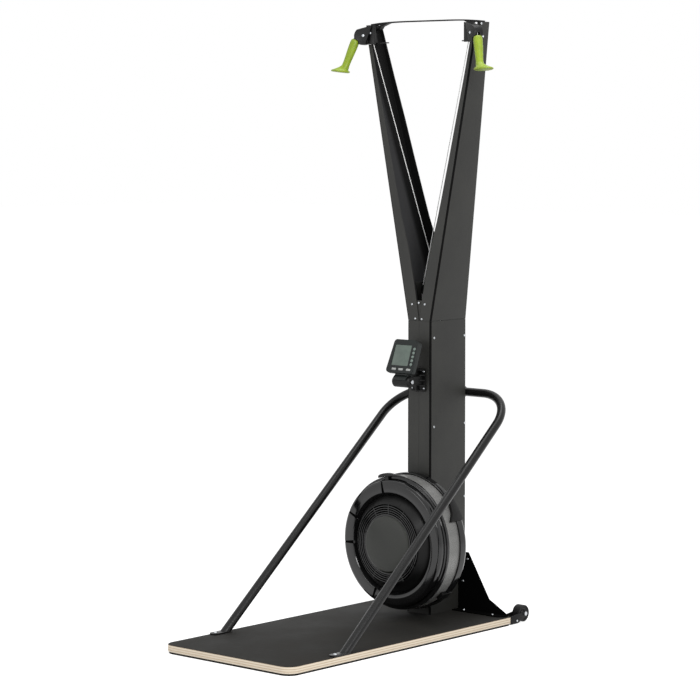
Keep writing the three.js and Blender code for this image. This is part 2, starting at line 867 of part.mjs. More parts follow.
function pulleyHead() {
  const half = noseWidth / 2;
  const slot = pulleyWidth / 2 + gap;
  const room = headPulleyRadius + gap;
  const nose = placed(alongY(noseShape(), -half, half), headMatrix);
  const plateTop = armTop - overrun / 2;
  const plateSide = armHalf(headSeat);
  const plate = block(plateSide - headPlateWidth, plateSide, columnFront - headPlateProud, columnFront,
    headSeat + gap, plateTop);
  const earLow = headSeat + overrun;
  const earHigh = earLow + headEarHeight;
  const earFront = columnFront + headNotchDepth / 2;
  const ear = alongY([[armInner(earLow) - headEar, earLow], [armInner(earLow), earLow],
    [armInner(earHigh), earHigh], [armInner(earHigh) - headEar, earHigh]],
  earFront, earFront + headEarDepth);
  const finRoot = armInner(earLow);
  const finY = earFront + headEarDepth / 2;
  const fin = alongZ([[finRoot, finY - finWidth / 2], [finRoot, finY + finWidth / 2],
    [finRoot - finLength, finY + finTipWidth / 2], [finRoot - finLength, finY - finTipWidth / 2]],
  earLow, earLow + finThickness);
  const pulleyRoom = alongY(circleShape(room), -slot, slot);
  const exitRoom = alongY([[headCordRadius - 4 * cordRadius, 0], [noseRadius * 2, 0],
    [noseRadius * 2, -noseRadius * 2], [headCordRadius - 4 * cordRadius, -noseRadius * 2]], -slot, slot);
  const entryRoom = alongY([[-noseRoot - noseWidth, headCordRadius / 2],
    [4 * cordRadius - headCordRadius, headCordRadius / 2],
    [4 * cordRadius - headCordRadius, -noseRadius * 2],
    [-noseRoot - noseWidth, -noseRadius * 2]], -slot, slot);
  const room3 = placed(joined(pulleyRoom, exitRoom, entryRoom), headMatrix);
  const pin = placed(alongY(circleShape(pulleyPinRadius), -half, half), headMatrix);
  return joined(joined(nose, plate, ear, fin).subtract(room3), pin);
}

// Grooved pulley about the Y axis
function pulley(outer, cord, width, bore) {
  const half = width / 2;
  const floor = cord - cordRadius - cordSeat;
  const lip = half - cordRadius - gap;
  return turned([[bore, -half], [outer, -half], [outer, -half + lip / 2], [floor, -half + lip],
    [floor, half - lip], [outer, half - lip / 2], [outer, half], [bore, half]], smallSteps);
}

function headPulley() {
  return placed(pulley(headPulleyRadius, headCordRadius, pulleyWidth, pulleyPinRadius + gap), headMatrix);
}

function idlerPulley(centre) {
  return placed(pulley(idlerRadius, idlerCordRadius, pulleyWidth, pulleyPinRadius + gap),
    new THREE.Matrix4().makeTranslation(centre.x, centre.y, centre.z));
}

function idlerBracket() {
  const middle = (leftIdler.y + rightIdler.y) / 2;
  const [low, high] = [idlerBracketLow, idlerBracketHigh];
  const plate = alongY([[-armInner(low), low], [armInner(low), low], [armInner(high), high],
    [-armInner(high), high]], middle - idlerPlate / 2, middle + idlerPlate / 2);
  const strip = (side) => alongY([[side * armInner(low), low], [side * armInner(high), high],
    [side * (armInner(high) - sheet), high], [side * (armInner(low) - sheet), low]],
  middle - idlerBracketDepth / 2, middle + idlerBracketDepth / 2);
  const reach = pulleyWidth / 2 + gap;
  const leftPin = alongY(circleShape(pulleyPinRadius, leftIdler.x, leftIdler.z),
    middle, leftIdler.y + reach);
  const rightPin = alongY(circleShape(pulleyPinRadius, rightIdler.x, rightIdler.z),
    rightIdler.y - reach, middle);
  const shelf = block(returnRadius - shelfReach, returnRadius + shelfReach,
    returnCordY(rightDrumY) - shelfReach, returnCordY(leftDrumY) + shelfReach,
    low, low + idlerPlate);
  return joined(plate, strip(1), strip(-1), leftPin, rightPin, shelf);
}

// Grip: a turned handle whose base flares into an oval set off towards the outside
function grip() {
  const profile = [[0, 0], [gripTopRadius - gripDome, 0],
    [gripTopRadius - gripDome * 0.38, gripDome * 0.31], [gripTopRadius, gripDome],
    [gripTopRadius, 0.24 * gripLength], [0.92 * gripTopRadius, 0.45 * gripLength],
    [gripNeckRadius, 0.68 * gripLength], [gripNeckRadius, 0.77 * gripLength],
    [0.38 * gripBaseRadius, 0.83 * gripLength], [0.6 * gripBaseRadius, 0.88 * gripLength],
    [0.92 * gripBaseRadius, 0.915 * gripLength], [gripBaseRadius, 0.94 * gripLength],
    [gripBaseRadius, 0.965 * gripLength], [0.88 * gripBaseRadius, gripLength], [0, gripLength]];
  const geometry = new THREE.LatheGeometry(profile.map(([r, y]) => new THREE.Vector2(r, y)), smallSteps);
  const p = geometry.attributes.position;
  for (let i = 0; i < p.count; i += 1) {
    const flare = THREE.MathUtils.smoothstep(p.getY(i) / gripLength, 0.74, 0.92);
    const oval = 1 + (gripBaseOvalShare - 1) * flare;
    p.setY(i, p.getY(i) + p.getX(i) * flare * Math.tan(rad(gripBaseTilt)));
    p.setX(i, p.getX(i) * oval + gripBaseOffset * flare);
    p.setZ(i, p.getZ(i) / oval);
  }
  const bore = new THREE.CylinderGeometry(gripBore, gripBore, 2 * gripBoreDepth, 12);
  const side = new THREE.Vector3(1, 0, 0).addScaledVector(gripAxis, -gripAxis.x).normalize();
  const matrix = new THREE.Matrix4().makeBasis(side, gripAxis, side.clone().cross(gripAxis))
    .setPosition(gripTop);
  return placed(solid(geometry).subtract(solid(bore)), matrix);
}

// Bar between the arm tops, with a slotted gusset at each end
function crossBar() {
  const top = armTop + barRise;
  const endTop = armTop + overrun;
  const low = endTop - barGussetDrop;
  const outer = (z) => armInner(z);
  const root = outer(low) - barGussetReach;
  const sag = barRise - overrun;
  const rootTop = top - sag / 3;
  const halfPoints = [[outer(endTop), endTop], [root, rootTop], [0, top], [0, top - barThickness],
    [root, rootTop - barThickness], [root + barGussetReach / 4, low + barGussetDrop / 3],
    [outer(low), low]];
  const front = columnFront + barBack;
  const right = alongY(halfPoints, front, front + barDepth);
  const slotFrom = root + barGussetReach / 3;
  const slotLow = low + barGussetDrop / 2;
  const slot = alongY([[slotFrom, slotLow], [slotFrom + barSlotLength, slotLow],
    [slotFrom + barSlotLength, slotLow + barSlotHeight], [slotFrom, slotLow + barSlotHeight]],
  front - overrun, front + barDepth + overrun);
  const half = right.subtract(slot);
  return joined(half, mirrored(half));
}

// Shaft, bearings, drums, shock cords and fan
const drumLength = 3 * drumFlange + 2 * drumGroove;
const rearBearingFace = columnRear - sheet - gap;
const frontBearingFace = columnFront + sheet + gap;

function driveShaft() {
  return onAxis(turned([[0, shaftFront], [shaftRadius - deckEase, shaftFront],
    [shaftRadius, shaftFront + deckEase], [shaftRadius, rearBearingFace - bearingFlange],
    [0, rearBearingFace - bearingFlange]], smallSteps));
}

function bearing(face, direction) {
  const bore = shaftRadius + gap;
  return onAxis(turned([[bore, face], [bearingFlangeRadius, face],
    [bearingFlangeRadius, face + direction * bearingFlange],
    [bearingBossRadius, face + direction * bearingFlange],
    [bearingBossRadius, face + direction * bearingLength],
    [bore, face + direction * bearingLength]], smallSteps));
}

function cordDrum(drumY) {
  const from = drumY - drumGroove / 2 - drumFlange;
  const floor = drumCordRadius - cordRadius - cordSeat;
  const hub = returnRadius - returnCordRadius - cordSeat;
  const bore = shaftRadius + gap;
  const at = [0, drumFlange, drumFlange + drumGroove, 2 * drumFlange + drumGroove,
    2 * (drumFlange + drumGroove), drumLength].map((y) => from + y);
  return onAxis(turned([[bore, at[0]], [drumFlangeRadius, at[0]], [drumFlangeRadius, at[1]], [floor, at[1]],
    [floor, at[2]], [drumFlangeRadius, at[2]], [drumFlangeRadius, at[3]], [hub, at[3]], [hub, at[4]],
    [drumFlangeRadius, at[4]], [drumFlangeRadius, at[5]], [bore, at[5]]], smallSteps));
}

function returnCord(drumY) {
  const y = returnCordY(drumY);
  const points = [new THREE.Vector3(returnRadius, y, idlerBracketLow - gap)];
  const steps = 8;
  for (let i = 0; i <= steps; i += 1) {
    const angle = Math.PI + (Math.PI * i) / steps;
    points.push(new THREE.Vector3(-returnRadius * Math.cos(angle), y,
      axisHeight + returnRadius * Math.sin(angle)));
  }
  return tube(points, returnCordRadius, cordSides);
}

function flywheelFan() {
  const rear = fanFront + fanDepth;
  const bore = shaftRadius + gap;
  const wheel = turned([[bore, fanFront], [fanHubRadius, fanFront], [fanHubRadius, rear - fanDisc],
    [fanRadius, rear - fanDisc], [fanRadius, rear], [bore, rear]]);
  const blades = [];
  for (let i = 0; i < fanBladeCount; i += 1) {
    const blade = block(fanBladeRoot, fanRadius - overrun, fanFront, rear - fanDisc / 2,
      -fanBlade / 2, fanBlade / 2);
    blades.push(placed(blade, new THREE.Matrix4().makeRotationY((2 * Math.PI * i) / fanBladeCount)));
  }
  return onAxis(joined(wheel, ...blades));
}

// Front cover: a rounded ring with a dished inner rim, radial notches and a slot for the lever
function flywheelCover() {
  const ring = coverFront + coverRingRise;
  const wall = coverWall;
  const shell = turned([[coverInnerRadius, coverFront + coverDish],
    [coverInnerRadius + wall, coverFront + wall / 3],
    [coverInnerRadius + 4 * wall, coverFront], [coverRadius - wall, coverFront + wall / 4],
    [coverRadius + wall / 2, ring - wall / 2], [coverRadius + wall, ring + wall],
    [coverRadius + wall, coverLipFront], [coverLipRadius, coverLipFront],
    [coverLipRadius, coverRear], [coverLipRadius - 1.75 * wall, coverRear],
    [coverLipRadius - 1.75 * wall, coverLipFront + wall], [coverRadius, coverLipFront + wall],
    [coverRadius, ring + wall], [coverRadius - 2 * wall, coverFront + wall * 1.4],
    [coverInnerRadius + 2 * wall, coverFront + wall * 1.4],
    [coverInnerRadius + wall, coverFront + coverDish]], fineSteps);
  const notch = alongY([[coverInnerRadius - overrun, -notchInnerWidth / 2],
    [coverRadius - wall / 2, -notchOuterWidth / 2], [coverRadius - wall / 2, notchOuterWidth / 2],
    [coverInnerRadius - overrun, notchInnerWidth / 2]], coverFront - overrun, coverFront + notchDepth);
  const notches = notchAngles.map((angle) => placed(notch, new THREE.Matrix4().makeRotationY(-rad(angle))));
  const slotFrom = leverAngle - leverStemTurn / 2 - damperTravel - leverSlack;
  const slotTo = leverAngle + leverStemTurn / 2 + leverSlack;
  const slot = alongY(sectorShape(damperRadius - overrun, coverLipRadius + overrun, slotFrom, slotTo),
    damperFront - gap, damperFront + damperThickness + gap);
  return onAxis(notches.reduce((body, cut) => body.subtract(cut), shell).subtract(slot));
}

// Intake: a dished land, round louvres, spokes and the hub that the damper ring turns on
function intakeGrille() {
  const wall = grilleWall;
  const edge = coverInnerRadius - gap;
  const dish = coverFront + coverDish;
  const land = turned([[edge, dish], [edge, dish + wall],
    [grilleLandRadius - wall, grilleFront + grilleLandDepth],
    [grilleLandRadius - wall, grilleFront], [grilleLandRadius, grilleFront + wall]], fineSteps);
  const hub = turned([[grilleHubRadius - grilleHubWall, grilleHubFront], [grilleHubRadius, grilleHubFront],
    [grilleHubRadius, grilleHubRear], [grilleHubRadius - grilleHubWall, grilleHubRear]]);
  const pieces = [land, hub];
  for (let i = 0; i < louvreCount; i += 1) {
    const outer = grilleLandRadius - wall - louvrePitch * (i + 1) + louvreWidth;
    pieces.push(turned([[outer - louvreWidth, grilleFront], [outer, grilleFront],
      [outer, grilleFront + louvreDepth], [outer - louvreWidth, grilleFront + louvreDepth]], 2 * spokeCount));
  }
  for (let i = 0; i < spokeCount; i += 1) {
    const spoke = block(grilleHubRadius - grilleHubWall / 2, grilleLandRadius - wall / 2,
      grilleFront + louvreDepth / 2, grilleFront + louvreDepth + wall / 2, -spokeWidth / 2, spokeWidth / 2);
    pieces.push(placed(spoke, new THREE.Matrix4().makeRotationY((2 * Math.PI * i) / spokeCount)));
  }
  return onAxis(joined(...pieces));
}

function centreCap() {
  const rim = grilleHubRadius - grilleHubWall - gap;
  const edge = capFront + capEdge;
  return onAxis(turned([[0, capFront], [rim - capEdge, capFront + capDome], [rim, edge],
    [rim, edge + capEdge], [rim - capWall, edge + capEdge], [rim - capWall, edge + capWall / 2],
    [rim - capEdge, capFront + capDome + capWall], [0, capFront + capWall]]));
}

function perforatedScreen() {
  const front = coverRear + gap;
  return onAxis(turned([[screenRadius - screenWall, front], [screenRadius, front],
    [screenRadius, screenRear], [screenRadius - screenWall, screenRear]], fineSteps));
}

function rearHousing() {
  const wall = rearWall;
  const lip = screenRear + gap;
  const back = columnFront - gap;
  const seat = screenRadius - screenWall;
  return onAxis(turned([[seat, lip], [rearLipRadius, lip], [rearBellyRadius, rearBelly],
    [rearShoulderRadius, rearShoulder], [rearSlopeRadius, rearSlope],
    [rearBossRadius, back], [shaftBore, back], [shaftBore, back - wall],
    [rearBossRadius - wall, back - wall],
    [rearSlopeRadius - wall / 2, rearSlope - wall], [rearBellyRadius - wall, rearBelly - wall / 2],
    [rearLipRadius - wall, lip + wall], [seat, lip + wall]], fineSteps));
}

function damperRing() {
  const bore = grilleHubRadius + damperRunning;
  const rear = damperFront + damperThickness;
  let ring = turned([[bore, damperFront], [damperRadius, damperFront], [damperRadius, rear], [bore, rear]]);
  for (let i = 0; i < damperWindowCount; i += 1) {
    const start = (fullTurn * i) / damperWindowCount;
    const window = sectorShape(damperWindowInner, damperWindowOuter, start, start + damperWindowTurn);
    ring = ring.subtract(alongY(window, damperFront - overrun, rear + overrun, 1));
  }
  return onAxis(ring);
}

function damperLever() {
  const seat = coverLipRadius + gap;
  const from = leverAngle - leverTurn / 2;
  const pad = alongY(sectorShape(seat, seat + leverHeight, from, from + leverTurn),
    damperFront - leverDepth / 10, damperFront + leverDepth * 0.9);
  const stemFrom = leverAngle - leverStemTurn / 2;
  const stem = alongY(sectorShape(damperRadius + gap, seat + leverHeight / 2,
    stemFrom, stemFrom + leverStemTurn), damperFront, damperFront + damperThickness);
  return onAxis(joined(pad, stem));
}

// Straps that hold cover, screen and rear housing together
function strap(fromAngle, toAngle, front, rear) {
  const low = Math.max(coverLipRadius, screenRadius) + gap;
  const high = rearBellyRadius + gap;
  const step = screenRear;
  const top = high + strapRise;
  return joined(alongY(sectorShape(low, top, fromAngle, toAngle), front, step),
    alongY(sectorShape(high, top, fromAngle, toAngle), step - overrun, rear));
}

function screenClip() {
  return onAxis(strap(strapClipAngle - strapClipTurn / 2, strapClipAngle + strapClipTurn / 2,
    screenRear - strapClipReach, rearBelly));
}

function screenBracket() {
  const rear = rearShoulder - overrun;
  const front = coverRear + 2 * overrun;
  const topY = screenRear - overrun;
  const turn = strapBracketHigh - strapBracketLow;
  const low = strapBracketLow - turn / 2;
  const high = strapBracketHigh + turn / 2;
  const rise = (topY - front) / 2;
  const corner = (angle, radius, y) => new THREE.Vector3(
    radius * Math.cos(rad(angle)), y, radius * Math.sin(rad(angle)));
  const face = (radius) => [corner(low, radius, front - rearShoulder),
    corner(high, radius, front - rearShoulder), corner(high, radius, topY + rise),
    corner(low, radius, front - rise)];
  const knife = hexahedron(face(coverInnerRadius), face(rearBellyRadius + coverInnerRadius));
  return onAxis(strap(strapBracketLow, strapBracketHigh, front, rear).subtract(knife));
}

// A closed six-sided body between two four-cornered faces
function hexahedron(nearFace, farFace) {
  const geometry = new THREE.BufferGeometry();
  const positions = [...nearFace, ...farFace].flatMap((p) => [p.x, p.y, p.z]);
  geometry.setAttribute('position', new THREE.Float32BufferAttribute(positions, 3));
  geometry.setIndex([0, 2, 1, 0, 3, 2, 4, 5, 6, 4, 6, 7, 0, 1, 5, 0, 5, 4,
    1, 2, 6, 1, 6, 5, 2, 3, 7, 2, 7, 6, 3, 0, 4, 3, 4, 7]);
  return solid(geometry);
}

// Monitor parts are made on a flat face (x across, z up the face, y into the case), then tilted
const monitorMatrix = new THREE.Matrix4().makeTranslation(monitorX, monitorFaceFront, monitorFaceLow)
  .multiply(new THREE.Matrix4().makeRotationX(-rad(monitorTilt)));

function buttonPlace(i) {
  return [buttonX, buttonLow + i * buttonPitch];
}

function keyShape(x, grow) {
  return roundedShape(x - keyWidth / 2 - grow, x + keyWidth / 2 + grow, keyLow - keyHeight / 2 - grow,
    keyLow + keyHeight / 2 + grow, keyHeight / 4 + grow);
}

function monitorCase() {
  const [low, high] = [monitorLowWidth / 2, monitorTopWidth / 2];
  const corner = monitorCorner;
  const face = (inset) => {
    const shape = new THREE.Shape();
    const lean = Math.atan2(low - high, monitorHeight);
    shape.absarc(low - corner, corner, corner - inset, -Math.PI / 2, lean, false);
    shape.absarc(high - corner, monitorHeight - corner, corner - inset, lean, Math.PI / 2, false);
    shape.absarc(corner - high, monitorHeight - corner, corner - inset, Math.PI / 2, Math.PI - lean, false);
    shape.absarc(corner - low, corner, corner - inset, Math.PI - lean, 1.5 * Math.PI, false);
    return shape;
  };
  const ring = (inset, depth) => face(inset).getPoints(5).slice(0, -1)
    .map((p) => new THREE.Vector3(p.x, p.y, -depth));
  const shell = loft([ring(monitorEdge, monitorTopDepth), ring(0, monitorTopDepth - monitorEdge),
    ring(0, monitorEdge), ring(monitorEdge, 0)]);
  const upright = placed(shell, new THREE.Matrix4().makeRotationX(Math.PI / 2));
  const back = alongX([[monitorLowDepth, -overrun], [monitorTopDepth + overrun, -overrun],
    [monitorTopDepth + overrun, monitorHeight]], -low - overrun, low + overrun);
  const sink = lcdSink + lcdThickness + gap;
  const recess = alongY(roundedShape(lcdOffset - lcdWidth / 2 - gap, lcdOffset + lcdWidth / 2 + gap,
    lcdLow - gap, lcdLow + lcdHeight + gap, lcdCorner + gap), -overrun, sink);
  const room = buttonSunk + buttonTravel + gap;
  let body = upright.subtract(back).subtract(recess);
  for (let i = 0; i < buttonCount; i += 1) {
    const [x, z] = buttonPlace(i);
    body = body.subtract(alongY(circleShape(buttonRadius + gap, x, z), -overrun, room, 2));
  }
  for (const x of keyPlaces) body = body.subtract(alongY(keyShape(x, gap), -overrun, room, 2));
  const cradle = new THREE.Shape();
  cradle.absarc(barrelY, barrelZ, barrelRadius + gap + cradleWall, rad(cradleStart), rad(cradleEnd), false);
  cradle.absarc(barrelY, barrelZ, barrelRadius + gap, rad(cradleEnd), rad(cradleStart), true);
  const neck = block(-cradleHalf, cradleHalf, barrelY - barrelRadius / 2, barrelY + barrelRadius / 2,
    barrelZ + barrelRadius, monitorFaceLow + overrun);
  const barrelRoom = alongX(circleShape(barrelRadius + gap, barrelY, barrelZ), -low, low);
  return joined(placed(body, monitorMatrix), alongX(cradle, -cradleHalf, cradleHalf),
    neck.subtract(barrelRoom));
}

function lcdWindow() {
  const plate = alongY(roundedShape(lcdOffset - lcdWidth / 2, lcdOffset + lcdWidth / 2,
    lcdLow, lcdLow + lcdHeight, lcdCorner), lcdSink, lcdSink + lcdThickness);
  return placed(plate, monitorMatrix);
}

function roundButton(i) {
  const [x, z] = buttonPlace(i);
  const crown = buttonRadius * 0.86;
  const body = turned([[0, -buttonProud], [crown, -buttonProud * 0.8], [buttonRadius, -buttonProud * 0.3],
    [buttonRadius, buttonSunk], [0, buttonSunk]], tinySteps);
  return placed(placed(body, new THREE.Matrix4().makeTranslation(x, 0, z)), monitorMatrix);
}

function softKey(x) {
  return placed(alongY(keyShape(x, 0), -buttonProud / 2, buttonSunk, 2), monitorMatrix);
}

function monitorPivot() {
  const body = turned([[0, -barrelHalf - barrelCapLength], [barrelCapRadius, -barrelHalf - barrelCapLength],
    [barrelCapRadius, -barrelHalf], [barrelRadius - 2 * barrelCapLength, -barrelHalf],
    [barrelRadius, -barrelHalf + 2 * barrelCapLength], [barrelRadius, barrelHalf - barrelCapLength],
    [barrelRadius - barrelCapLength, barrelHalf], [barrelCapRadius, barrelHalf],
    [barrelCapRadius, barrelHalf + barrelCapLength], [0, barrelHalf + barrelCapLength]], smallSteps);
  const matrix = new THREE.Matrix4().makeTranslation(0, barrelY, barrelZ)
    .multiply(new THREE.Matrix4().makeRotationZ(-Math.PI / 2));
  return placed(body, matrix);
}

function monitorBracket() {
  const back = columnFront - gap;
  const plate = alongY(roundedShape(-bracketHalf, bracketHalf, barrelZ - bracketHeight / 2,
    barrelZ + bracketHeight / 2, bracketPlate), back - bracketPlate, back);
  const arm = block(-bracketArmHalf, bracketArmHalf, barrelY, back - bracketPlate / 2,
    barrelZ - bracketArmHeight / 2, barrelZ + bracketArmHeight / 2);
  const ribFront = back - bracketPlate - bracketRibDepth;
  const ribs = [];
  for (let i = 0; i < bracketRibCount; i += 1) {
    const z = barrelZ + (bracketHeight - 3 * bracketRibThickness) * (i / (bracketRibCount - 1) - 0.5);
    ribs.push(alongZ([[-bracketHalf, back - bracketPlate / 2], [bracketHalf, back - bracketPlate / 2],
      [bracketArmHalf, ribFront], [-bracketArmHalf, ribFront]],
    z - bracketRibThickness / 2, z + bracketRibThickness / 2));
  }
  const keel = block(-bracketRibThickness, bracketRibThickness, ribFront, back - bracketPlate / 2,
    barrelZ - bracketHeight / 2, barrelZ + bracketHeight / 2);
  const barrelRoom = alongX(circleShape(barrelRadius + gap, barrelY, barrelZ), -bracketHalf, bracketHalf);
  return joined(plate, arm, keel, ...ribs).subtract(barrelRoom);
}

// Finishes
const finishes = {
  film: { color: 0x3c3a37, roughness: 0.6, metalness: 0 },
  rubber: { color: 0x1a1a1a, roughness: 0.85, metalness: 0 },
  coat: { color: 0x44443f, roughness: 0.45, metalness: 0.1 },
  darkCoat: { color: 0x282828, roughness: 0.4, metalness: 0.1 },
  gloss: { color: 0x333335, roughness: 0.25, metalness: 0 },
  moulding: { color: 0x373737, roughness: 0.5, metalness: 0 },
  steel: { color: 0xb9bbbd, roughness: 0.3, metalness: 1 },
  screen: { color: 0x969696, roughness: 0.5, metalness: 0.6 },
  aluminium: { color: 0xc4c6c8, roughness: 0.4, metalness: 1 },
  cord: { color: 0xe8e8e4, roughness: 0.8, metalness: 0 },
  shockCord: { color: 0x222222, roughness: 0.9, metalness: 0 },
  grip: { color: 0xb2cc46, roughness: 0.55, metalness: 0 },
  lcd: { color: 0x738075, roughness: 0.15, metalness: 0 },
  key: { color: 0xc9cbc8, roughness: 0.5, metalness: 0 },
};

const machine = new THREE.Group();
machine.position.y = -(wheelY + wheelRadius) / 2;

function addMesh(name, finish, body) {
  const mesh = new THREE.Mesh(meshGeometry(body.simplify(flatTolerance)),
    new THREE.MeshStandardMaterial(finishes[finish]));
  mesh.name = name;
  machine.add(mesh);
}

function addPair(name, finish, body) {
  addMesh(`left_${name}`, finish, mirrored(body));
  addMesh(`right_${name}`, finish, body);
}

addMesh('platform_board', 'film', platformBoard());
addMesh('base_pad', 'rubber', basePad());
addPair('gusset', 'darkCoat', gusset());
addMesh('support_hoop', 'darkCoat', supportHoop());
addMesh('hoop_saddle', 'darkCoat', hoopSaddle());
addPair('wheel_bracket', 'darkCoat', wheelFork());
addPair('wheel', 'rubber', transportWheel());
addPair('wheel_axle', 'steel', wheelAxle());
addPair('column_channel', 'coat', columnChannel());
addPair('arm', 'coat', armChannel());
addMesh('arm_joint_plate', 'coat', armJointPlate());
addMesh('cross_bar', 'darkCoat', crossBar());
addPair('pulley_head', 'moulding', pulleyHead());
addPair('top_pulley', 'moulding', headPulley());
addPair('handle', 'grip', grip());
addPair('pull_cord', 'cord', pullCord());
addMesh('left_arm_cord', 'cord', armCord(-1, leftIdler, 1));
addMesh('right_arm_cord', 'cord', armCord(1, rightIdler, -1));
addMesh('left_idler_pulley', 'moulding', idlerPulley(leftIdler));
addMesh('right_idler_pulley', 'moulding', idlerPulley(rightIdler));
addMesh('idler_bracket', 'darkCoat', idlerBracket());
addMesh('left_cord_drum', 'aluminium', cordDrum(leftDrumY));
addMesh('right_cord_drum', 'aluminium', cordDrum(rightDrumY));
addMesh('left_return_cord', 'shockCord', returnCord(leftDrumY));
addMesh('right_return_cord', 'shockCord', returnCord(rightDrumY));
addMesh('drive_shaft', 'steel', driveShaft());
addMesh('front_bearing', 'steel', bearing(frontBearingFace, 1));
addMesh('rear_bearing', 'steel', bearing(rearBearingFace, -1));
addMesh('flywheel_fan', 'aluminium', flywheelFan());
addMesh('flywheel_cover', 'gloss', flywheelCover());
addMesh('intake_grille', 'moulding', intakeGrille());
addMesh('centre_cap', 'moulding', centreCap());
addMesh('perforated_screen', 'screen', perforatedScreen());
addMesh('rear_housing', 'gloss', rearHousing());
addMesh('damper_ring', 'moulding', damperRing());
addMesh('damper_lever', 'moulding', damperLever());
addMesh('screen_bracket', 'moulding', screenBracket());
addMesh('screen_clip', 'moulding', screenClip());
addMesh('monitor_bracket', 'moulding', monitorBracket());
addMesh('monitor_pivot', 'moulding', monitorPivot());
addMesh('monitor_case', 'moulding', monitorCase());
addMesh('lcd_window', 'lcd', lcdWindow());
for (let i = 0; i < buttonCount; i += 1) {
  addMesh(`side_button_${buttonCount - i}`, 'moulding', roundButton(i));
}
keyPlaces.forEach((x, i) => addMesh(`soft_key_${i + 1}`, 'key', softKey(x)));

export default machine;
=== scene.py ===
"""Looks of a ski trainer machine: painted sheet steel, a birch standing board, lime grips on white
cords, and an air flywheel in a gloss housing. Forms are drawn in millimetres from the front edge of
the board, +Y away from the user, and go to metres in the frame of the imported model."""
from math import atan2, cos, degrees, hypot, pi, radians, sin, tan

import bmesh
import bpy
from mathutils import Matrix, Vector


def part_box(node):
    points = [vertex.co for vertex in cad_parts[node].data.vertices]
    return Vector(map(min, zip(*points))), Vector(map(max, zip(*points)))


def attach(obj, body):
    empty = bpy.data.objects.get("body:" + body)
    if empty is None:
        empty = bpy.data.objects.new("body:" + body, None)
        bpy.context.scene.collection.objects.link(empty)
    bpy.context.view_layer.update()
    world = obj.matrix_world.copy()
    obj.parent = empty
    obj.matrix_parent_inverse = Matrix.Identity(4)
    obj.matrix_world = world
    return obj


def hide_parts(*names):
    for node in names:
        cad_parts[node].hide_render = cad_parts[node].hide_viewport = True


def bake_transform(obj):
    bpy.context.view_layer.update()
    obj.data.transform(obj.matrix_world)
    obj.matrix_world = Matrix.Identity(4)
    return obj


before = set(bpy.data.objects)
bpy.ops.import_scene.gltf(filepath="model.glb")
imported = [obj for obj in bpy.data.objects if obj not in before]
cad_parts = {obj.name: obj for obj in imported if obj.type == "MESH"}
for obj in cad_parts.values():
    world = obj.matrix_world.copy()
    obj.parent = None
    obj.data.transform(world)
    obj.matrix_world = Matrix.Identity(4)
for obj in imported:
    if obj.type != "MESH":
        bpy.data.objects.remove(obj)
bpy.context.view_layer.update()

board_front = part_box("platform_board")[0].y
TO_ROW = Matrix.Translation((0, board_front, 0)) @ Matrix.Scale(0.001, 4)


# Colour and materials

def linear(code):
    """An sRGB hex colour such as "3c3a37" as linear red, green, blue and alpha."""
    parts = [int(code[i:i + 2], 16) / 255 for i in (0, 2, 4)]
    return [c / 12.92 if c <= 0.04045 else ((c + 0.055) / 1.055) ** 2.4 for c in parts] + [1]


def put(tree, kind, sockets=None, stops=(), **settings):
    """Adds one shader node with its settings, its sockets' values or links, and a ramp's hex colour
    stops. A node given for a socket stands for its first output."""
    node = tree.nodes.new("ShaderNode" + kind)
    for name, value in settings.items():
        setattr(node, name, value)
    for name, value in (sockets or {}).items():
        if isinstance(value, bpy.types.Node):
            value = value.outputs[0]
        if isinstance(value, bpy.types.NodeSocket):
            tree.links.new(value, node.inputs[name])
        else:
            node.inputs[name].default_value = value
    for i, (place, code) in enumerate(stops):
        elements = node.color_ramp.elements
        stop = elements[i] if i < len(elements) else elements.new(place)
        stop.position = place
        stop.color = linear(code)
    return node


def blank(name, places="Object"):
    """A material, its emptied node tree, and the places that its patterns are laid out by."""
    material = bpy.data.materials.new(name)
    material.use_nodes = True
    tree = material.node_tree
    tree.nodes.clear()
    return material, tree, put(tree, "TexCoord").outputs[places]


def drifting(tree, place, scale, detail, *stops):
    """A tone that drifts over a surface: the noise, and its colours."""
    noise = put(tree, "TexNoise", {"Vector": place, "Scale": scale, "Detail": detail})
    return noise, put(tree, "ValToRGB", {"Fac": noise}, stops)


def finished(material, colour, rough, relief, strength, sockets, distance=0.001):
    """Closes a material: a relief in the surface, its shader, and the output. A roughness given as a
    pattern and two ends follows the pattern."""
    tree = material.node_tree
    if isinstance(rough, tuple):
        pattern, low, high = rough
        rough = put(tree, "MapRange", {"Value": pattern, "From Min": 0.3, "From Max": 0.7,
                                       "To Min": low, "To Max": high})
    bump = put(tree, "Bump", {"Height": relief, "Strength": strength, "Distance": distance})
    sockets.update({"Base Color": colour, "Roughness": rough, "Normal": bump})
    put(tree, "OutputMaterial", {"Surface": put(tree, "BsdfPrincipled", sockets)})
    return material


# The peel of a powder coat is near 0.7 mm across and is drawn at 1.4 mm, so that it still shows
PEEL_MM = 1.4


def powder_coat(name, dark, light, roughness, sheen):
    """Polyester powder coat baked on steel: a fine orange peel breaks the highlight up, and the tone
    clouds where the coat lies thicker."""
    material, tree, place = blank(name)
    peel = put(tree, "TexNoise", {"Vector": place, "Scale": 1000 / PEEL_MM, "Detail": 3})
    _, colour = drifting(tree, place, 9, 4, (0.35, dark), (0.7, light))
    rough = peel, roughness - 0.06, roughness + 0.06
    return finished(material, colour, rough, peel, 0.06, {"IOR": 1.5, "Specular IOR Level": sheen})


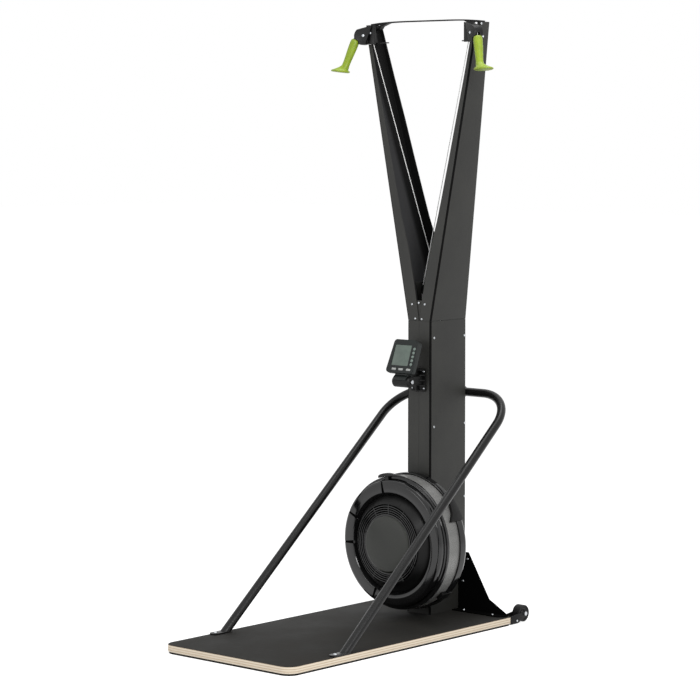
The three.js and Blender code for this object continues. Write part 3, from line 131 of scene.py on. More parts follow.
def coat_with_painted_shade_in_channel():
    """The same coat inside the open arms. Near the front it covers as well as outside, and behind the line of
    the cord it turns dull and near black: painted shade in the depth of the channel."""
    material, tree, place = blank("powder_coat_painted_shade_inside_channel")
    # The painted shade starts at a line that falls back 0.171 m for each metre down the arm, as the cord does
    behind = put(tree, "VectorMath", {0: place, 1: (0, 1, 0.171)}, operation="DOT_PRODUCT")
    depth = put(tree, "MapRange", {"Value": behind.outputs["Value"], "From Min": 0.72, "From Max": 0.74})
    peel = put(tree, "TexNoise", {"Vector": place, "Scale": 1000 / PEEL_MM, "Detail": 3})
    # From graphite in front of the line to near black behind it: painted shade
    colour = put(tree, "ValToRGB", {"Fac": depth}, [(0, "363637"), (1, "090909")])
    return finished(material, colour, 0.8, peel, 0.1, {"IOR": 1.5, "Specular IOR Level": 0.15})


def moulded_abs(name, dark, light, grain_mm, roughness, depth, sheen):
    """Injection moulded ABS: the grain is the spark-eroded tool's, and slight flow makes the tone
    drift. A polished tool leaves almost no grain and a wet gloss."""
    material, tree, place = blank(name)
    grain = put(tree, "TexVoronoi", {"Vector": place, "Scale": 1000 / grain_mm})
    flow, colour = drifting(tree, place, 14, 3, (0.3, dark), (0.75, light))
    rough = flow, roughness * 0.85, roughness * 1.2
    return finished(material, colour, rough, grain, depth, {"IOR": 1.53, "Specular IOR Level": sheen})


def worked_metal(name, dark, light, roughness, scratch_mm, stretch):
    """Bare or plated metal: fine tool lines stretched one way, so that highlights smear across."""
    material, tree, place = blank(name)
    lines = put(tree, "Mapping", {"Vector": place, "Scale": stretch})
    scratch, colour = drifting(tree, lines, 1000 / scratch_mm, 2, (0.3, dark), (0.7, light))
    rough = scratch, roughness * 0.8, roughness * 1.3
    return finished(material, colour, rough, scratch, 0.05, {"Metallic": 1})


def film_faced_ply():
    """Phenolic film pressed on birch ply with a wire mesh: brown black, matt, with a fine raised grid
    and dull scuffs where feet go."""
    material, tree, place = blank("phenolic_film_mesh_pressed")
    # The pressed wires are 1.6 mm apart. This scale draws them 25 mm apart, so that they show
    wires = [put(tree, "TexWave", {"Vector": place, "Scale": 12.5, "Distortion": 0.3},
                 bands_direction=axis).outputs["Fac"] for axis in "XY"]
    mesh = put(tree, "Math", dict(enumerate(wires)), operation="MULTIPLY")
    scuffs, colour = drifting(tree, place, 5, 6, (0.3, "151412"), (0.52, "191815"), (0.72, "211f1c"))
    scuffs.inputs["Roughness"].default_value = 0.62
    rough = scuffs, 0.66, 0.8
    return finished(material, colour, rough, mesh, 0.12, {"IOR": 1.52, "Specular IOR Level": 0.2})


def birch_ply_edge():
    """Birch ply cut and sanded: pale plies with darker end-grain ones between them."""
    material, tree, place = blank("birch_ply_edge_sanded")
    # Plies are near 1.4 mm thick and are drawn 4 mm, because thinner ones run together
    ply = 0.004
    height = put(tree, "SeparateXYZ", {"Vector": place}).outputs["Z"]
    plies = put(tree, "Math", {0: height, 1: pi / ply}, operation="MULTIPLY")
    wave = put(tree, "Math", {0: plies}, operation="SINE")
    stretched = put(tree, "Mapping", {"Vector": place, "Scale": (1, 1, 6)})
    fibre = put(tree, "TexNoise", {"Vector": stretched, "Scale": 60, "Detail": 4})
    mixed = put(tree, "Math", {0: wave, 1: fibre}, operation="ADD")
    share = put(tree, "MapRange", {"Value": mixed, "From Min": -0.7, "From Max": 1.6})
    colour = put(tree, "ValToRGB", {"Fac": share}, [(0, "d6bea0"), (0.4, "eedcc2"), (0.8, "f8ecd9")])
    return finished(material, colour, 0.62, fibre, 0.15, {"IOR": 1.5})


def rubber(name, dark, light, roughness):
    """Vulcanised or cast rubber, moulded: dull, with a dusty bloom and a fine crumb."""
    material, tree, place = blank(name)
    crumb = put(tree, "TexNoise", {"Vector": place, "Scale": 420, "Detail": 4})
    _, colour = drifting(tree, place, 22, 3, (0.3, dark), (0.75, light))
    return finished(material, colour, roughness, crumb, 0.2, {"IOR": 1.52, "Specular IOR Level": 0.3})


def grip_rubber():
    """Thermoplastic rubber, moulded in lime green: soft sheen and a fine stipple for the hand."""
    material, tree, place = blank("thermoplastic_rubber_moulded_lime")
    # The stipple is 0.6 mm across and is drawn 1.6 mm, so that it shows
    stipple_mm = 1.6
    stipple = put(tree, "TexVoronoi", {"Vector": place, "Scale": 1000 / stipple_mm})
    _, colour = drifting(tree, place, 30, 3, (0.3, "8aa224"), (0.7, "9bb42c"))
    return finished(material, colour, 0.42, stipple, 0.12, {"IOR": 1.5, "Subsurface Weight": 0.04})


def braided_cord(name, dark, light, strand_mm):
    """Polyester braid over a core: crossing strands, with a painted highlight on each strand and painted
    shade between them.
    """
    material, tree, place = blank(name, "UV")
    # UV is in metres, along and round the cord. The wave node repeats after 2 pi of the width given,
    # so that strands near 1 mm wide are drawn 8 to 11 mm apart and show
    scale = 1000 / strand_mm / 20
    lays = [put(tree, "Mapping", {"Vector": place, "Rotation": (0, 0, radians(turn))}) for turn in (38, -38)]
    strands = [put(tree, "TexWave", {"Vector": lay, "Scale": scale}).outputs["Fac"] for lay in lays]
    braid = put(tree, "Math", dict(enumerate(strands)), operation="MAXIMUM")
    # Lighter on the strands and darker between them: painted highlight and shade
    colour = put(tree, "ValToRGB", {"Fac": braid}, [(0.3, dark), (0.8, light)])
    return finished(material, colour, 0.7, braid, 0.4, {"IOR": 1.5, "Sheen Weight": 0.2}, 0.0005)


def perforated_steel():
    """Galvanised steel, punched with staggered round holes whose dark grey is painted shade of the inside,
    and rolled, so that faint streaks run across the band."""
    material, tree, place = blank("galvanised_steel_punched", "UV")
    parts = put(tree, "SeparateXYZ", {"Vector": place})
    # The holes are 2 mm at a 3 mm pitch and are drawn at a 4.4 mm pitch, so that they show
    pitch = 0.0044
    row = put(tree, "Math", {0: parts.outputs["Y"], 1: pitch * 0.866}, operation="DIVIDE")
    row_number = put(tree, "Math", {0: row}, operation="FLOOR")
    odd = put(tree, "Math", {0: row_number, 1: 2}, operation="MODULO")
    shift = put(tree, "Math", {0: odd, 1: 0.5}, operation="MULTIPLY")
    column = put(tree, "Math", {0: parts.outputs["X"], 1: pitch}, operation="DIVIDE")
    stagger = put(tree, "Math", {0: column, 1: shift}, operation="ADD")
    across = put(tree, "Math", {0: stagger, 1: 0.5}, operation="PINGPONG")
    along = put(tree, "Math", {0: row, 1: 0.5}, operation="PINGPONG")
    offset = put(tree, "CombineXYZ", {"X": across, "Y": along})
    centre = put(tree, "VectorMath", {0: offset, 1: (0.5, 0.5, 0)}, operation="DISTANCE")
    # 0 in the hole and 1 on the steel, by the distance from the hole's middle in pitches
    hole = put(tree, "MapRange", {"Value": centre.outputs["Value"], "From Min": 0.27, "From Max": 0.33})
    rolled = put(tree, "Mapping", {"Vector": place, "Scale": (1, 0.03, 1)})
    _, sheet = drifting(tree, rolled, 14, 4, (0.3, "828280"), (0.7, "9e9e9c"))
    # The holes are painted dark grey: painted shade of the housing's inside
    colour = put(tree, "Mix", {"Factor": hole, "A": linear("3a3a3a"), "B": sheet}, data_type="RGBA")
    return finished(material, colour.outputs["Result"], 0.45, hole, 0.5, {"Metallic": 0.35}, 0.0006)


def lcd_glass():
    """Liquid crystal cell behind clear polycarbonate: grey green, a soft mottle, a sharp gloss."""
    material, tree, place = blank("lcd_cell_behind_polycarbonate")
    _, colour = drifting(tree, place, 40, 2, (0.3, "58665e"), (0.7, "647269"))
    cell = put(tree, "BsdfPrincipled", {"Base Color": colour, "Roughness": 0.2, "IOR": 1.58})
    put(tree, "OutputMaterial", {"Surface": cell})
    return material


coat_graphite = powder_coat("powder_coat_graphite_satin", "232321", "2a2a27", 0.55, 0.4)
# Near black and dull on the front fold of the column and arms: a painted dark line of shade along the bend
coat_fold_painted_shade = powder_coat("powder_coat_painted_shade_on_fold", "060606", "0b0b0b", 0.8, 0.1)
coat_inside_painted_shade = coat_with_painted_shade_in_channel()
coat_black = powder_coat("powder_coat_black_gloss", "0a0a0a", "101010", 0.28, 0.32)
coat_satin = powder_coat("powder_coat_black_satin", "080808", "0d0d0d", 0.5, 0.2)
# Near black and dull: painted shade in the cover's notches, on the gussets at the column's foot and on the
# fan inside the housing
coat_matt_painted_shade = powder_coat("powder_coat_black_matt_painted_shade", "030303", "060606", 0.8, 0.03)
gloss_abs = moulded_abs("abs_moulded_gloss_black", "0a0a0b", "0f0f10", 3, 0.1, 0.003, 0.5)
cap_abs = moulded_abs("abs_moulded_satin_grey", "1d1f1a", "242620", 2, 0.4, 0.02, 0.45)
grained_abs = moulded_abs("abs_moulded_fine_grain", "070707", "0c0c0c", 1.4, 0.45, 0.05, 0.2)
monitor_abs = moulded_abs("abs_moulded_case_grain", "0c1110", "121817", 1.2, 0.45, 0.05, 0.3)
nylon = moulded_abs("nylon_moulded_black", "090909", "0e0e0e", 1.6, 0.42, 0.04, 0.28)
film_top = film_faced_ply()
ply_edge = birch_ply_edge()
pad_rubber = rubber("vulcanised_rubber_sheet", "0e0e0e", "141414", 0.85)
tyre_rubber = rubber("polyurethane_tyre_cast", "0c0c0c", "121212", 0.6)
silicone_key = rubber("silicone_key_moulded_grey", "a4a6a4", "b8bab8", 0.5)
button_rubber = rubber("silicone_button_moulded_grey_green", "75827c", "86938c", 0.45)
lime_rubber = grip_rubber()
white_braid = braided_cord("polyester_braid_white", "f2f2ee", "ffffff", 1.2)
black_braid = braided_cord("polyester_braid_black_on_rubber", "0c0c0c", "2a2a2a", 1.8)
screen_steel = perforated_steel()
lcd_cell = lcd_glass()
zinc = worked_metal("steel_zinc_plated", "a8abae", "d0d3d6", 0.3, 1.2, (1, 1, 1))
ground_steel = worked_metal("steel_ground_bright", "8f9193", "b9bbbd", 0.28, 0.9, (1, 12, 1))
turned_aluminium = worked_metal("aluminium_turned_bare", "a7a9ab", "c8cacc", 0.34, 0.9, (1, 8, 1))


# Forms in millimetres

MIRROR = Matrix.Scale(-1, 4, (1, 0, 0))
SIDES = (("right", 1, Matrix()), ("left", -1, MIRROR))
# Turns a form's Y axis to the machine's X
LYING = Matrix.Rotation(-radians(90), 4, "Z")
# Faces that meet more sharply than this show an edge
CREASE = 32


def arc(x, y, radius, start, end, steps):
    """Points along an arc, its angles in degrees and both ends included."""
    turns = [radians(start + (end - start) * i / steps) for i in range(steps + 1)]
    return [(x + radius * cos(turn), y + radius * sin(turn)) for turn in turns]


def lofted(rings, looped=False):
    """Skins a row of rings that have the same number of points, and caps its ends unless it loops."""
    form = bmesh.new()
    rows = [[form.verts.new(p) for p in ring] for ring in rings]
    spans = list(zip(rows, rows[1:])) + ([(rows[-1], rows[0])] if looped else [])
    for low, high in spans:
        for i in range(len(low)):
            j = (i + 1) % len(low)
            form.faces.new((low[i], low[j], high[j], high[i]))
    if not looped:
        form.faces.new(list(reversed(rows[0])))
        form.faces.new(rows[-1])
    bmesh.ops.recalc_face_normals(form, faces=form.faces)
    return form


def eased(points, radius, steps=3):
    """Rounds the corners of a closed outline. A corner's third number is its own radius."""
    rounded = []
    for i, point in enumerate(points):
        here = Vector(point[:2])
        back, on = Vector(points[i - 1][:2]) - here, Vector(points[(i + 1) % len(points)][:2]) - here
        wanted = point[2] if len(point) > 2 else radius
        if wanted <= 0 or back.length < 1e-6 or on.length < 1e-6:
            rounded.append(here[:])
            continue
        reach = min(wanted / max(tan(back.angle(on) / 2), 1e-3), back.length * 0.48, on.length * 0.48)
        start, end = here + back.normalized() * reach, here + on.normalized() * reach
        for k in range(steps + 1):
            t = k / steps
            at = start * (1 - t) ** 2 + here * 2 * t * (1 - t) + end * t ** 2
            rounded.append(at[:])
    return rounded


def both_ways(half):
    """A section of (radius, y) that is the same on both sides of y = 0, from its first half."""
    return half + [(radius, -y, *corner) for radius, y, *corner in reversed(half)]


def turned(profile, steps=0, at=None):
    """Turns an outline of (radius, y) about the Y axis. The outline may change with the angle."""
    rings = []
    for angle in at or [360 * i / steps for i in range(steps)]:
        outline = profile(angle) if callable(profile) else profile
        rings.append([(r * cos(radians(angle)), y, r * sin(radians(angle))) for r, y in outline])
    form = lofted(rings, looped=True)
    bmesh.ops.remove_doubles(form, verts=form.verts, dist=1e-3)
    return form


def swept(path, radius, sides):
    """A round rod along a path, with UV along and round it in metres."""
    last = len(path) - 1
    tangents = [(path[min(i + 1, last)] - path[max(i - 1, 0)]).normalized() for i in range(last + 1)]
    side = tangents[0].orthogonal().normalized()
    rings, lengths, run = [], [], 0
    for i, (point, tangent) in enumerate(zip(path, tangents)):
        side = (side - tangent * side.dot(tangent)).normalized()
        other = tangent.cross(side)
        rings.append([point + side * x + other * y for x, y in arc(0, 0, radius, 0, 360, sides)[:-1]])
        run += (point - path[i - 1]).length if i else 0
        lengths.append(run)
    form = lofted(rings)
    uv = form.loops.layers.uv.new("UVMap")
    form.verts.index_update()
    for face in form.faces:
        ks = [loop.vert.index % sides for loop in face.loops]
        for loop, k in zip(face.loops, ks):
            turn = k + sides if max(ks) - min(ks) > sides / 2 and k < sides / 2 else k
            loop[uv].uv = (lengths[loop.vert.index // sides] / 1000, 2 * pi * radius * turn / sides / 1000)
    return form


def slab(outline, depth, holes=()):
    """A flat plate in the XY plane, from z = 0 to its depth, with holes through it."""
    curve = bpy.data.curves.new("slab", "CURVE")
    curve.dimensions = "2D"
    curve.fill_mode = "BOTH"
    curve.extrude = depth / 2
    for loop in (outline, *holes):
        spline = curve.splines.new("POLY")
        spline.points.add(len(loop) - 1)
        for point, (x, y) in zip(spline.points, loop):
            point.co = (x, y, 0, 1)
        spline.use_cyclic_u = True
    holder = bpy.data.objects.new("slab", curve)
    mesh = bpy.data.meshes.new_from_object(holder)
    form = bmesh.new()
    form.from_mesh(mesh)
    bpy.data.objects.remove(holder)
    bpy.data.curves.remove(curve)
    bpy.data.meshes.remove(mesh)
    bmesh.ops.remove_doubles(form, verts=form.verts, dist=1e-3)
    form.transform(Matrix.Translation((0, 0, depth / 2)))
    bmesh.ops.recalc_face_normals(form, faces=form.faces)
    return form


def softened(form, width, angle=50):
    """Rounds the edges where faces meet more sharply than the angle."""
    bmesh.ops.dissolve_limit(form, angle_limit=radians(0.5), verts=form.verts, edges=form.edges)
    edges = [edge for edge in form.edges if edge.calc_face_angle(0) > radians(angle)]
    bmesh.ops.bevel(form, geom=edges, offset=width, segments=2, profile=0.5, affect="EDGES",
                    clamp_overlap=True)
    return form


def as_mesh(name, form):
    mesh = bpy.data.meshes.new(name)
    form.to_mesh(mesh)
    form.free()
    return mesh


def stood(name, data):
    """Puts a mesh, a lamp or a camera into the scene."""
    piece = bpy.data.objects.new(name, data)
    bpy.context.scene.collection.objects.link(piece)
    return piece


def gathered(forms):
    """Several forms as one."""
    whole = bmesh.new()
    for form in forms:
        part = as_mesh("part", form)
        whole.from_mesh(part)
        bpy.data.meshes.remove(part)
    return whole


def cut(form, tool):
    """Takes another form away from a form."""
    holder, cutter = [stood("cut", as_mesh("cut", shape)) for shape in (form, tool)]
    saw = holder.modifiers.new("cut", "BOOLEAN")
    saw.object, saw.operation, saw.solver = cutter, "DIFFERENCE", "EXACT"
    whole = bmesh.new()
    whole.from_object(holder, bpy.context.evaluated_depsgraph_get())
    for used in (holder, cutter):
        mesh = used.data
        bpy.data.objects.remove(used)
        bpy.data.meshes.remove(mesh)
    return whole


def moved(form, matrix):
    """Moves or mirrors a form, with its faces kept outwards."""
    form.transform(matrix)
    if matrix.determinant() < 0:
        bmesh.ops.reverse_faces(form, faces=form.faces)
    return form


def upright(form, front):
    """Stands a slab up so that its outline is x and z, and its depth runs from front along +Y."""
    swap = Matrix(((1, 0, 0, 0), (0, 0, 1, 0), (0, 1, 0, 0), (0, 0, 0, 1)))
    return moved(form, Matrix.Translation((0, front, 0)) @ swap)


def rounded_box(x0, x1, y0, y1, corner, steps=6):
    """A rectangle's outline with rounded corners, counter-clockwise."""
    return eased([(x0, y0), (x1, y0), (x1, y1), (x0, y1)], corner, steps)


def between(table, share):
    """A value read from a table of (share, value), straight between its rows."""
    for (low, a), (high, b) in zip(table, table[1:]):
        if share <= high:
            return a + (b - a) * (share - low) / (high - low)
    return table[-1][1]


def fit(name, form, finishes, slot, *nodes, body="machine_frame"):
    """Turns a form into a piece that rides on a body and stands for CAD nodes."""
    for face in form.faces:
        face.smooth = True
    for edge in form.edges:
        edge.smooth = edge.calc_face_angle(0) < radians(CREASE)
    mesh = as_mesh(name, form)
    mesh.transform(TO_ROW)
    for finish in finishes if isinstance(finishes, list) else [finishes]:
        mesh.materials.append(finish)
    piece = stood(name, mesh)
    if body:
        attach(piece, body)
    if nodes:
        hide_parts(*nodes)
    return piece


def fit_packed(name, node, width, finish, slot, angle=30, place=Matrix()):
    """A piece that keeps its node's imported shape, with the edges rounded."""
    form = bmesh.new()
    form.from_mesh(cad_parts[node].data)
    form.transform(TO_ROW.inverted())
    bmesh.ops.remove_doubles(form, verts=form.verts, dist=0.01)
    fit(name, moved(softened(form, width, angle), place), finish, slot, node)


# Half of a button head with its socket, in shares of its radius and height
BUTTON_HEAD = [(0, 0), (1, 0), (1, 0.22), (0.86, 0.62), (0.6, 0.9), (0.44, 1), (0.4, 0.5), (0, 0.42)]


def bolts(name, seats, place=Matrix()):
    """Plated bolts. A seat is a point, an axis, and the head's radius and height."""
    heads = []
    for at, axis, radius, height in seats:
        dome = turned([(r * radius, h * height) for r, h in BUTTON_HEAD], 18)
        turn = Vector((0, 1, 0)).rotation_difference(Vector(axis)).to_matrix().to_4x4()
        heads.append(moved(dome, Matrix.Translation(at) @ turn))
    fit(name, moved(gathered(heads), place), zinc, "bright_steel")


# Standing board
BOARD_WIDE, BOARD_LONG, PAD_TOP, BOARD_TOP = 596, 1193, 7, 31
FRONT_CORNER, REAR_CORNER = 45, 8


def board_ring(inset, z):
    """The board's outline at one height: wide corners at the front, small ones behind."""
    half, front, rear, wide = BOARD_WIDE / 2 - inset, inset, BOARD_LONG - inset, FRONT_CORNER - inset
    outline = [*arc(wide - half, front + wide, wide, 180, 270, 12),
               *arc(half - wide, front + wide, wide, 270, 360, 12),
               *arc(half - REAR_CORNER, rear - REAR_CORNER, REAR_CORNER, 0, 90, 12),
               *arc(REAR_CORNER - half, rear - REAR_CORNER, REAR_CORNER, 90, 180, 12)]
    return [(x, y, z) for x, y in outline]


def standing_board():
    """Ply with slightly eased edges, and the film on top as far as the easing."""
    edge = [(1.2, PAD_TOP), (0.3, PAD_TOP + 0.5), (0, PAD_TOP + 1.4), (0, BOARD_TOP - 2.2),
            (0.25, BOARD_TOP - 1.1), (0.9, BOARD_TOP - 0.35), (1.9, BOARD_TOP)]
    form = lofted([board_ring(inset, z) for inset, z in edge])
    for face in form.faces:
        face.material_index = 1 if face.calc_center_median().z < BOARD_TOP - 1.2 else 0
    fit("board_ply_and_film", form, [film_top, ply_edge], "film_ply", "platform_board")


# Column and arms: two folded channels each. A flange's table has the share of the way up the arm, and
# the flange's width there in half widths of the column
COLUMN_HALF, COLUMN_FRONT, COLUMN_REAR, COLUMN_TOP, ARM_TOP = 55, 1021, 1229, 1104, 2200
ARM_TOP_HALF, ARM_TOP_REAR, SHEET, BEND, BEND_STEPS = 268, 1098, 3, 6, 5
COLUMN_FOOT, COLUMN_SEAM, ARM_FOOT, HEAD_SEAT, SEAT_FRONT = 31.3, 1103.6, 1104.6, 2126, 1041.3
FRONT_FLANGE = [(0, 0.96), (0.07, 1.02), (0.15, 1.03), (0.24, 0.99), (0.34, 0.78), (0.41, 0.7),
                (0.54, 0.59), (0.68, 0.49), (0.82, 0.38), (1, 0.31)]
REAR_FLANGE = [(0, 0.96), (0.07, 1.05), (0.15, 1.1), (0.24, 1), (0.34, 0.79), (0.41, 0.73),
               (0.54, 0.64), (0.68, 0.57), (0.82, 0.45), (1, 0.34)]
SHEET_FINISHES = [coat_graphite, coat_fold_painted_shade, coat_inside_painted_shade]


def rear_fold(half, rear, edge):
    """The outline from the web round the rear flange and back, as a folded sheet."""
    x, y = half - BEND, rear - BEND
    return [*arc(x, y, BEND, 0, 90, BEND_STEPS), (edge, rear), (edge, rear - SHEET),
            *arc(x, y, BEND - SHEET, 90, 0, BEND_STEPS)]


def channel_ring(z, half, front, rear, front_edge, rear_edge):
    """The outline of a folded sheet at one height: front flange, web and rear flange."""
    x, y = half - BEND, front + BEND
    outline = [(front_edge, front), *arc(x, y, BEND, -90, 0, BEND_STEPS),
               *rear_fold(half, rear, rear_edge), *arc(x, y, BEND - SHEET, 0, -90, BEND_STEPS),
               (front_edge, front + SHEET)]
    return [(x, y, z) for x, y in outline]


def channel(rings, fold=range(1, BEND_STEPS + 1), inside=2 * BEND_STEPS + 4):
    """A channel whose faces know their place by a ring's point numbers: 0 outside and on the cut edges,
    1 on the front fold, painted as a dark line of shade, 2 inside, painted darker behind the cord's line as
    shade."""
    form = lofted(rings)
    form.verts.index_update()
    for face in form.faces:
        first, *rest = sorted({v.index % len(rings[0]) for v in face.verts})
        if len(rest) == 1:
            # Index 1 is the front fold's painted line of shade, index 2 the inside with its painted shade
            face.material_index = 2 if first >= inside else 1 if first in fold else 0
    return form


def up_the_arm(z, foot, top):
    """A measure that changes evenly from the arm's foot to its top."""
    return foot + (top - foot) * (z - COLUMN_TOP) / (ARM_TOP - COLUMN_TOP)


def arm_half(z):
    return up_the_arm(z, COLUMN_HALF, ARM_TOP_HALF)


def arm_rear(z):
    return up_the_arm(z, COLUMN_REAR, ARM_TOP_REAR)


def flange_edge(flange, z):
    return arm_half(z) - COLUMN_HALF * between(flange, (z - ARM_FOOT) / (ARM_TOP - ARM_FOOT))


def column_sheet():
    """Half the column, its edges just short of the other half's."""
    return channel([channel_ring(z, COLUMN_HALF, COLUMN_FRONT, COLUMN_REAR, 0.3, 0.1)
                    for z in (COLUMN_FOOT, COLUMN_SEAM)])


def arm_sheet():
    """A full channel up to the head's seat, and above it the web and the rear flange only."""
    low = [channel_ring(z, arm_half(z), COLUMN_FRONT, arm_rear(z), flange_edge(FRONT_FLANGE, z),
                        flange_edge(REAR_FLANGE, z))
           for z in (ARM_FOOT + (HEAD_SEAT - ARM_FOOT) * i / 44 for i in range(45))]
    high = []
    for z in (HEAD_SEAT, (HEAD_SEAT + ARM_TOP) / 2, ARM_TOP):
        fold = rear_fold(arm_half(z), arm_rear(z), flange_edge(REAR_FLANGE, z))
        outline = [(arm_half(z), SEAT_FRONT), *fold, (arm_half(z) - SHEET, SEAT_FRONT)]
        high.append([(x, y, z) for x, y in outline])
    return gathered([channel(low), channel(high, (), BEND_STEPS + 3)])


def column_and_arms():
    for side, _, matrix in SIDES:
        fit(f"column_sheet_{side}", moved(column_sheet(), matrix), SHEET_FINISHES, "column_paint",
            f"{side}_column_channel")
        fit(f"arm_sheet_{side}", moved(arm_sheet(), matrix), SHEET_FINISHES, "column_paint", f"{side}_arm")
    walls = ((1042, 1042), (1219, 1042), (1042, 716), (1221, 716), (1221, 445))
    bolts("column_side_bolts", [((sign * COLUMN_HALF, y, z), (sign, 0, 0), 4.5, 2.6)
                                for y, z in walls for sign in (1, -1)])
    joint = ((-34, 1163), (-2, 1169), (26, 1165), (-19, 1111), (12, 1110))
    bolts("arm_joint_bolts", [((x, COLUMN_FRONT, z), (0, -1, 0), 4.2, 2.4) for x, z in joint])


# Support hoop
TUBE, HOOP_FOOT, HOOP_HALF, FOOT_HALF, HOOP_RISE, HOOP_BEND = 16, 290, 272, 281, 798, 150
TAB_HALF, TAB_THICK = 17, 5


def support_hoop():
    """One tube, level across the column's back and bent down to a flat tab at each foot."""
    run = COLUMN_REAR + 3 + TUBE - HOOP_FOOT
    slope, length = atan2(HOOP_RISE, run), hypot(HOOP_RISE, run)
    line = [(FOOT_HALF, -20), (FOOT_HALF - 3, length * 0.3), (HOOP_HALF + 2, length * 0.7),
            *arc(HOOP_HALF - HOOP_BEND, length - HOOP_BEND, HOOP_BEND, 0, 90, 24)]
    right = [Vector((x, HOOP_FOOT + along * cos(slope), BOARD_TOP + along * sin(slope)))
             for x, along in line]
    tube = swept(right + [Vector((-p.x, p.y, p.z)) for p in reversed(right)], TUBE, 32)
    bmesh.ops.bisect_plane(tube, geom=[*tube.verts, *tube.edges, *tube.faces],
                           plane_co=(0, 0, BOARD_TOP + 0.4), plane_no=(0, 0, -1), clear_outer=True)
    forms = [tube]
    for x in (FOOT_HALF, -FOOT_HALF):
        outline = eased([(x - TAB_HALF, HOOP_FOOT - 66, 16), (x + TAB_HALF, HOOP_FOOT - 66, 16),
                         (x + TAB_HALF, HOOP_FOOT + 17, 5), (x - TAB_HALF, HOOP_FOOT + 17, 5)], 5, 8)
        tab = softened(slab(outline, TAB_THICK), 0.8)
        forms.append(moved(tab, Matrix.Translation((0, 0, BOARD_TOP + 0.3))))
    fit("hoop_bent_tube", gathered(forms), coat_black, "dark_paint", "support_hoop")
    bolts("hoop_foot_bolts", [((x, HOOP_FOOT - 46, BOARD_TOP + 0.3 + TAB_THICK), (0, 0, 1), 6.5, 4.2)
                              for x in (FOOT_HALF, -FOOT_HALF)])


# Directions of the pulley heads and grips on the right side; the left side is their mirror
NOSE_YAW = 22
HEAD = Vector((262, 1011, 2159))
OUTWARD = Vector((cos(radians(NOSE_YAW)), -sin(radians(NOSE_YAW)), 0))
HEAD_AXLE = Vector((sin(radians(NOSE_YAW)), cos(radians(NOSE_YAW)), 0))
HEAD_TURN = Matrix.Translation(HEAD) @ Matrix.Rotation(-radians(NOSE_YAW), 4, "Z")
GRIP_AXIS = Vector((tan(radians(16.5)), -tan(radians(14)), -1)).normalized()
# Radii: the cord itself, and its middle line on each wheel and drum
CORD, HEAD_CORD, IDLER_CORD, DRUM_CORD = 1.5, 26, 18, 25
PULLEY_WIDE, PULLEY_BORE, AXIS_HEIGHT = 10, 4.3, 304
# Each idler's middle, its arm's side, and the side on which the cord goes round it
IDLERS = {"left": (Vector((-43, 1175, 1200)), -1, 1), "right": (Vector((-7, 1070, 1215)), 1, -1)}


def head_point(angle):
    return HEAD + OUTWARD * HEAD_CORD * cos(angle) + Vector((0, 0, HEAD_CORD * sin(angle)))


def tangent_angle(direction, side):
    lean = atan2(side * direction.dot(OUTWARD), -direction.z)
    return lean if side > 0 else pi - lean


GRIP_TANGENT = tangent_angle(GRIP_AXIS, 1)
CORD_EXIT = head_point(GRIP_TANGENT)
GRIP_TOP = CORD_EXIT + GRIP_AXIS * 24.2


def arm_cord_path(idler, side, idler_side):
    """The cord's line: over the head pulley, down the arm, round its idler and onto its drum."""
    run = idler - Vector((side * HEAD.x, HEAD.y, HEAD.z))
    leave = tangent_angle(Vector((side * run.x, run.y, run.z)).normalized(), -1)
    over = [head_point(GRIP_TANGENT + (leave - GRIP_TANGENT) * i / 18) for i in range(19)]
    lean = degrees(atan2(abs(run.x), -run.z))
    down = [(idler.x + idler_side * x, z) for x, z in arc(0, idler.z, IDLER_CORD, lean, 0, 6)]
    down += arc(0, AXIS_HEIGHT, DRUM_CORD, 180, 360, 16)
    return [Vector((side * p.x, p.y, p.z)) for p in over] + [Vector((x, idler.y, z)) for x, z in down]


def pulley(outer, cord, steps):
    """A wheel with a groove for the cord between two lips."""
    half = PULLEY_WIDE / 2
    floor = cord - CORD - 0.6
    lip = half - CORD - 0.3
    section = [(PULLEY_BORE, -half), (outer, -half), (outer, -half + lip / 2), (floor, -half + lip)]
    return turned(eased(both_ways(section), 0.4, 2), steps)


GRIP_LONG = 136.5
GRIP_OUTLINE = [(0, 0), (6, 0.1), (11, 1.2), (14.4, 3.6), (16.1, 7.4), (16.7, 12), (16.8, 28), (16.2, 46),
                (15.2, 64), (14.3, 80), (13.8, 94), (14, 104), (15.2, 110.5), (17.6, 116.4),
                (21.6, 121.6), (26.4, 125.8), (30.6, 128.4), (33, 130), (34, 131.8), (33.6, 133.8),
                (32.2, 135.6), (29.9, 136.5), (26, 136), (0, 134.6)]
BASE_FACE = Vector((-0.06, 0.11, 1))


def grip_form():
    """A grip turned, then its base drawn out into a nearly level oval that reaches to the outside."""
    side = (Vector((1, 0, 0)) - GRIP_AXIS * GRIP_AXIS.x).normalized()
    other = side.cross(GRIP_AXIS)
    form = turned(GRIP_OUTLINE, 56)
    for vert in form.verts:
        x, y, z = vert.co
        t = min(max((y / GRIP_LONG - 0.8) / 0.16, 0), 1)
        flare = t * t * (3 - 2 * t)
        oval = 1 + 0.12 * flare
        drop = -(x * side.dot(BASE_FACE) + z * other.dot(BASE_FACE)) / GRIP_AXIS.dot(BASE_FACE)
        vert.co = (x * oval + 15 * flare, y + drop * flare, z / oval)
    matrix = Matrix((side, GRIP_AXIS, other)).transposed().to_4x4()
    return moved(form, Matrix.Translation(GRIP_TOP) @ matrix)


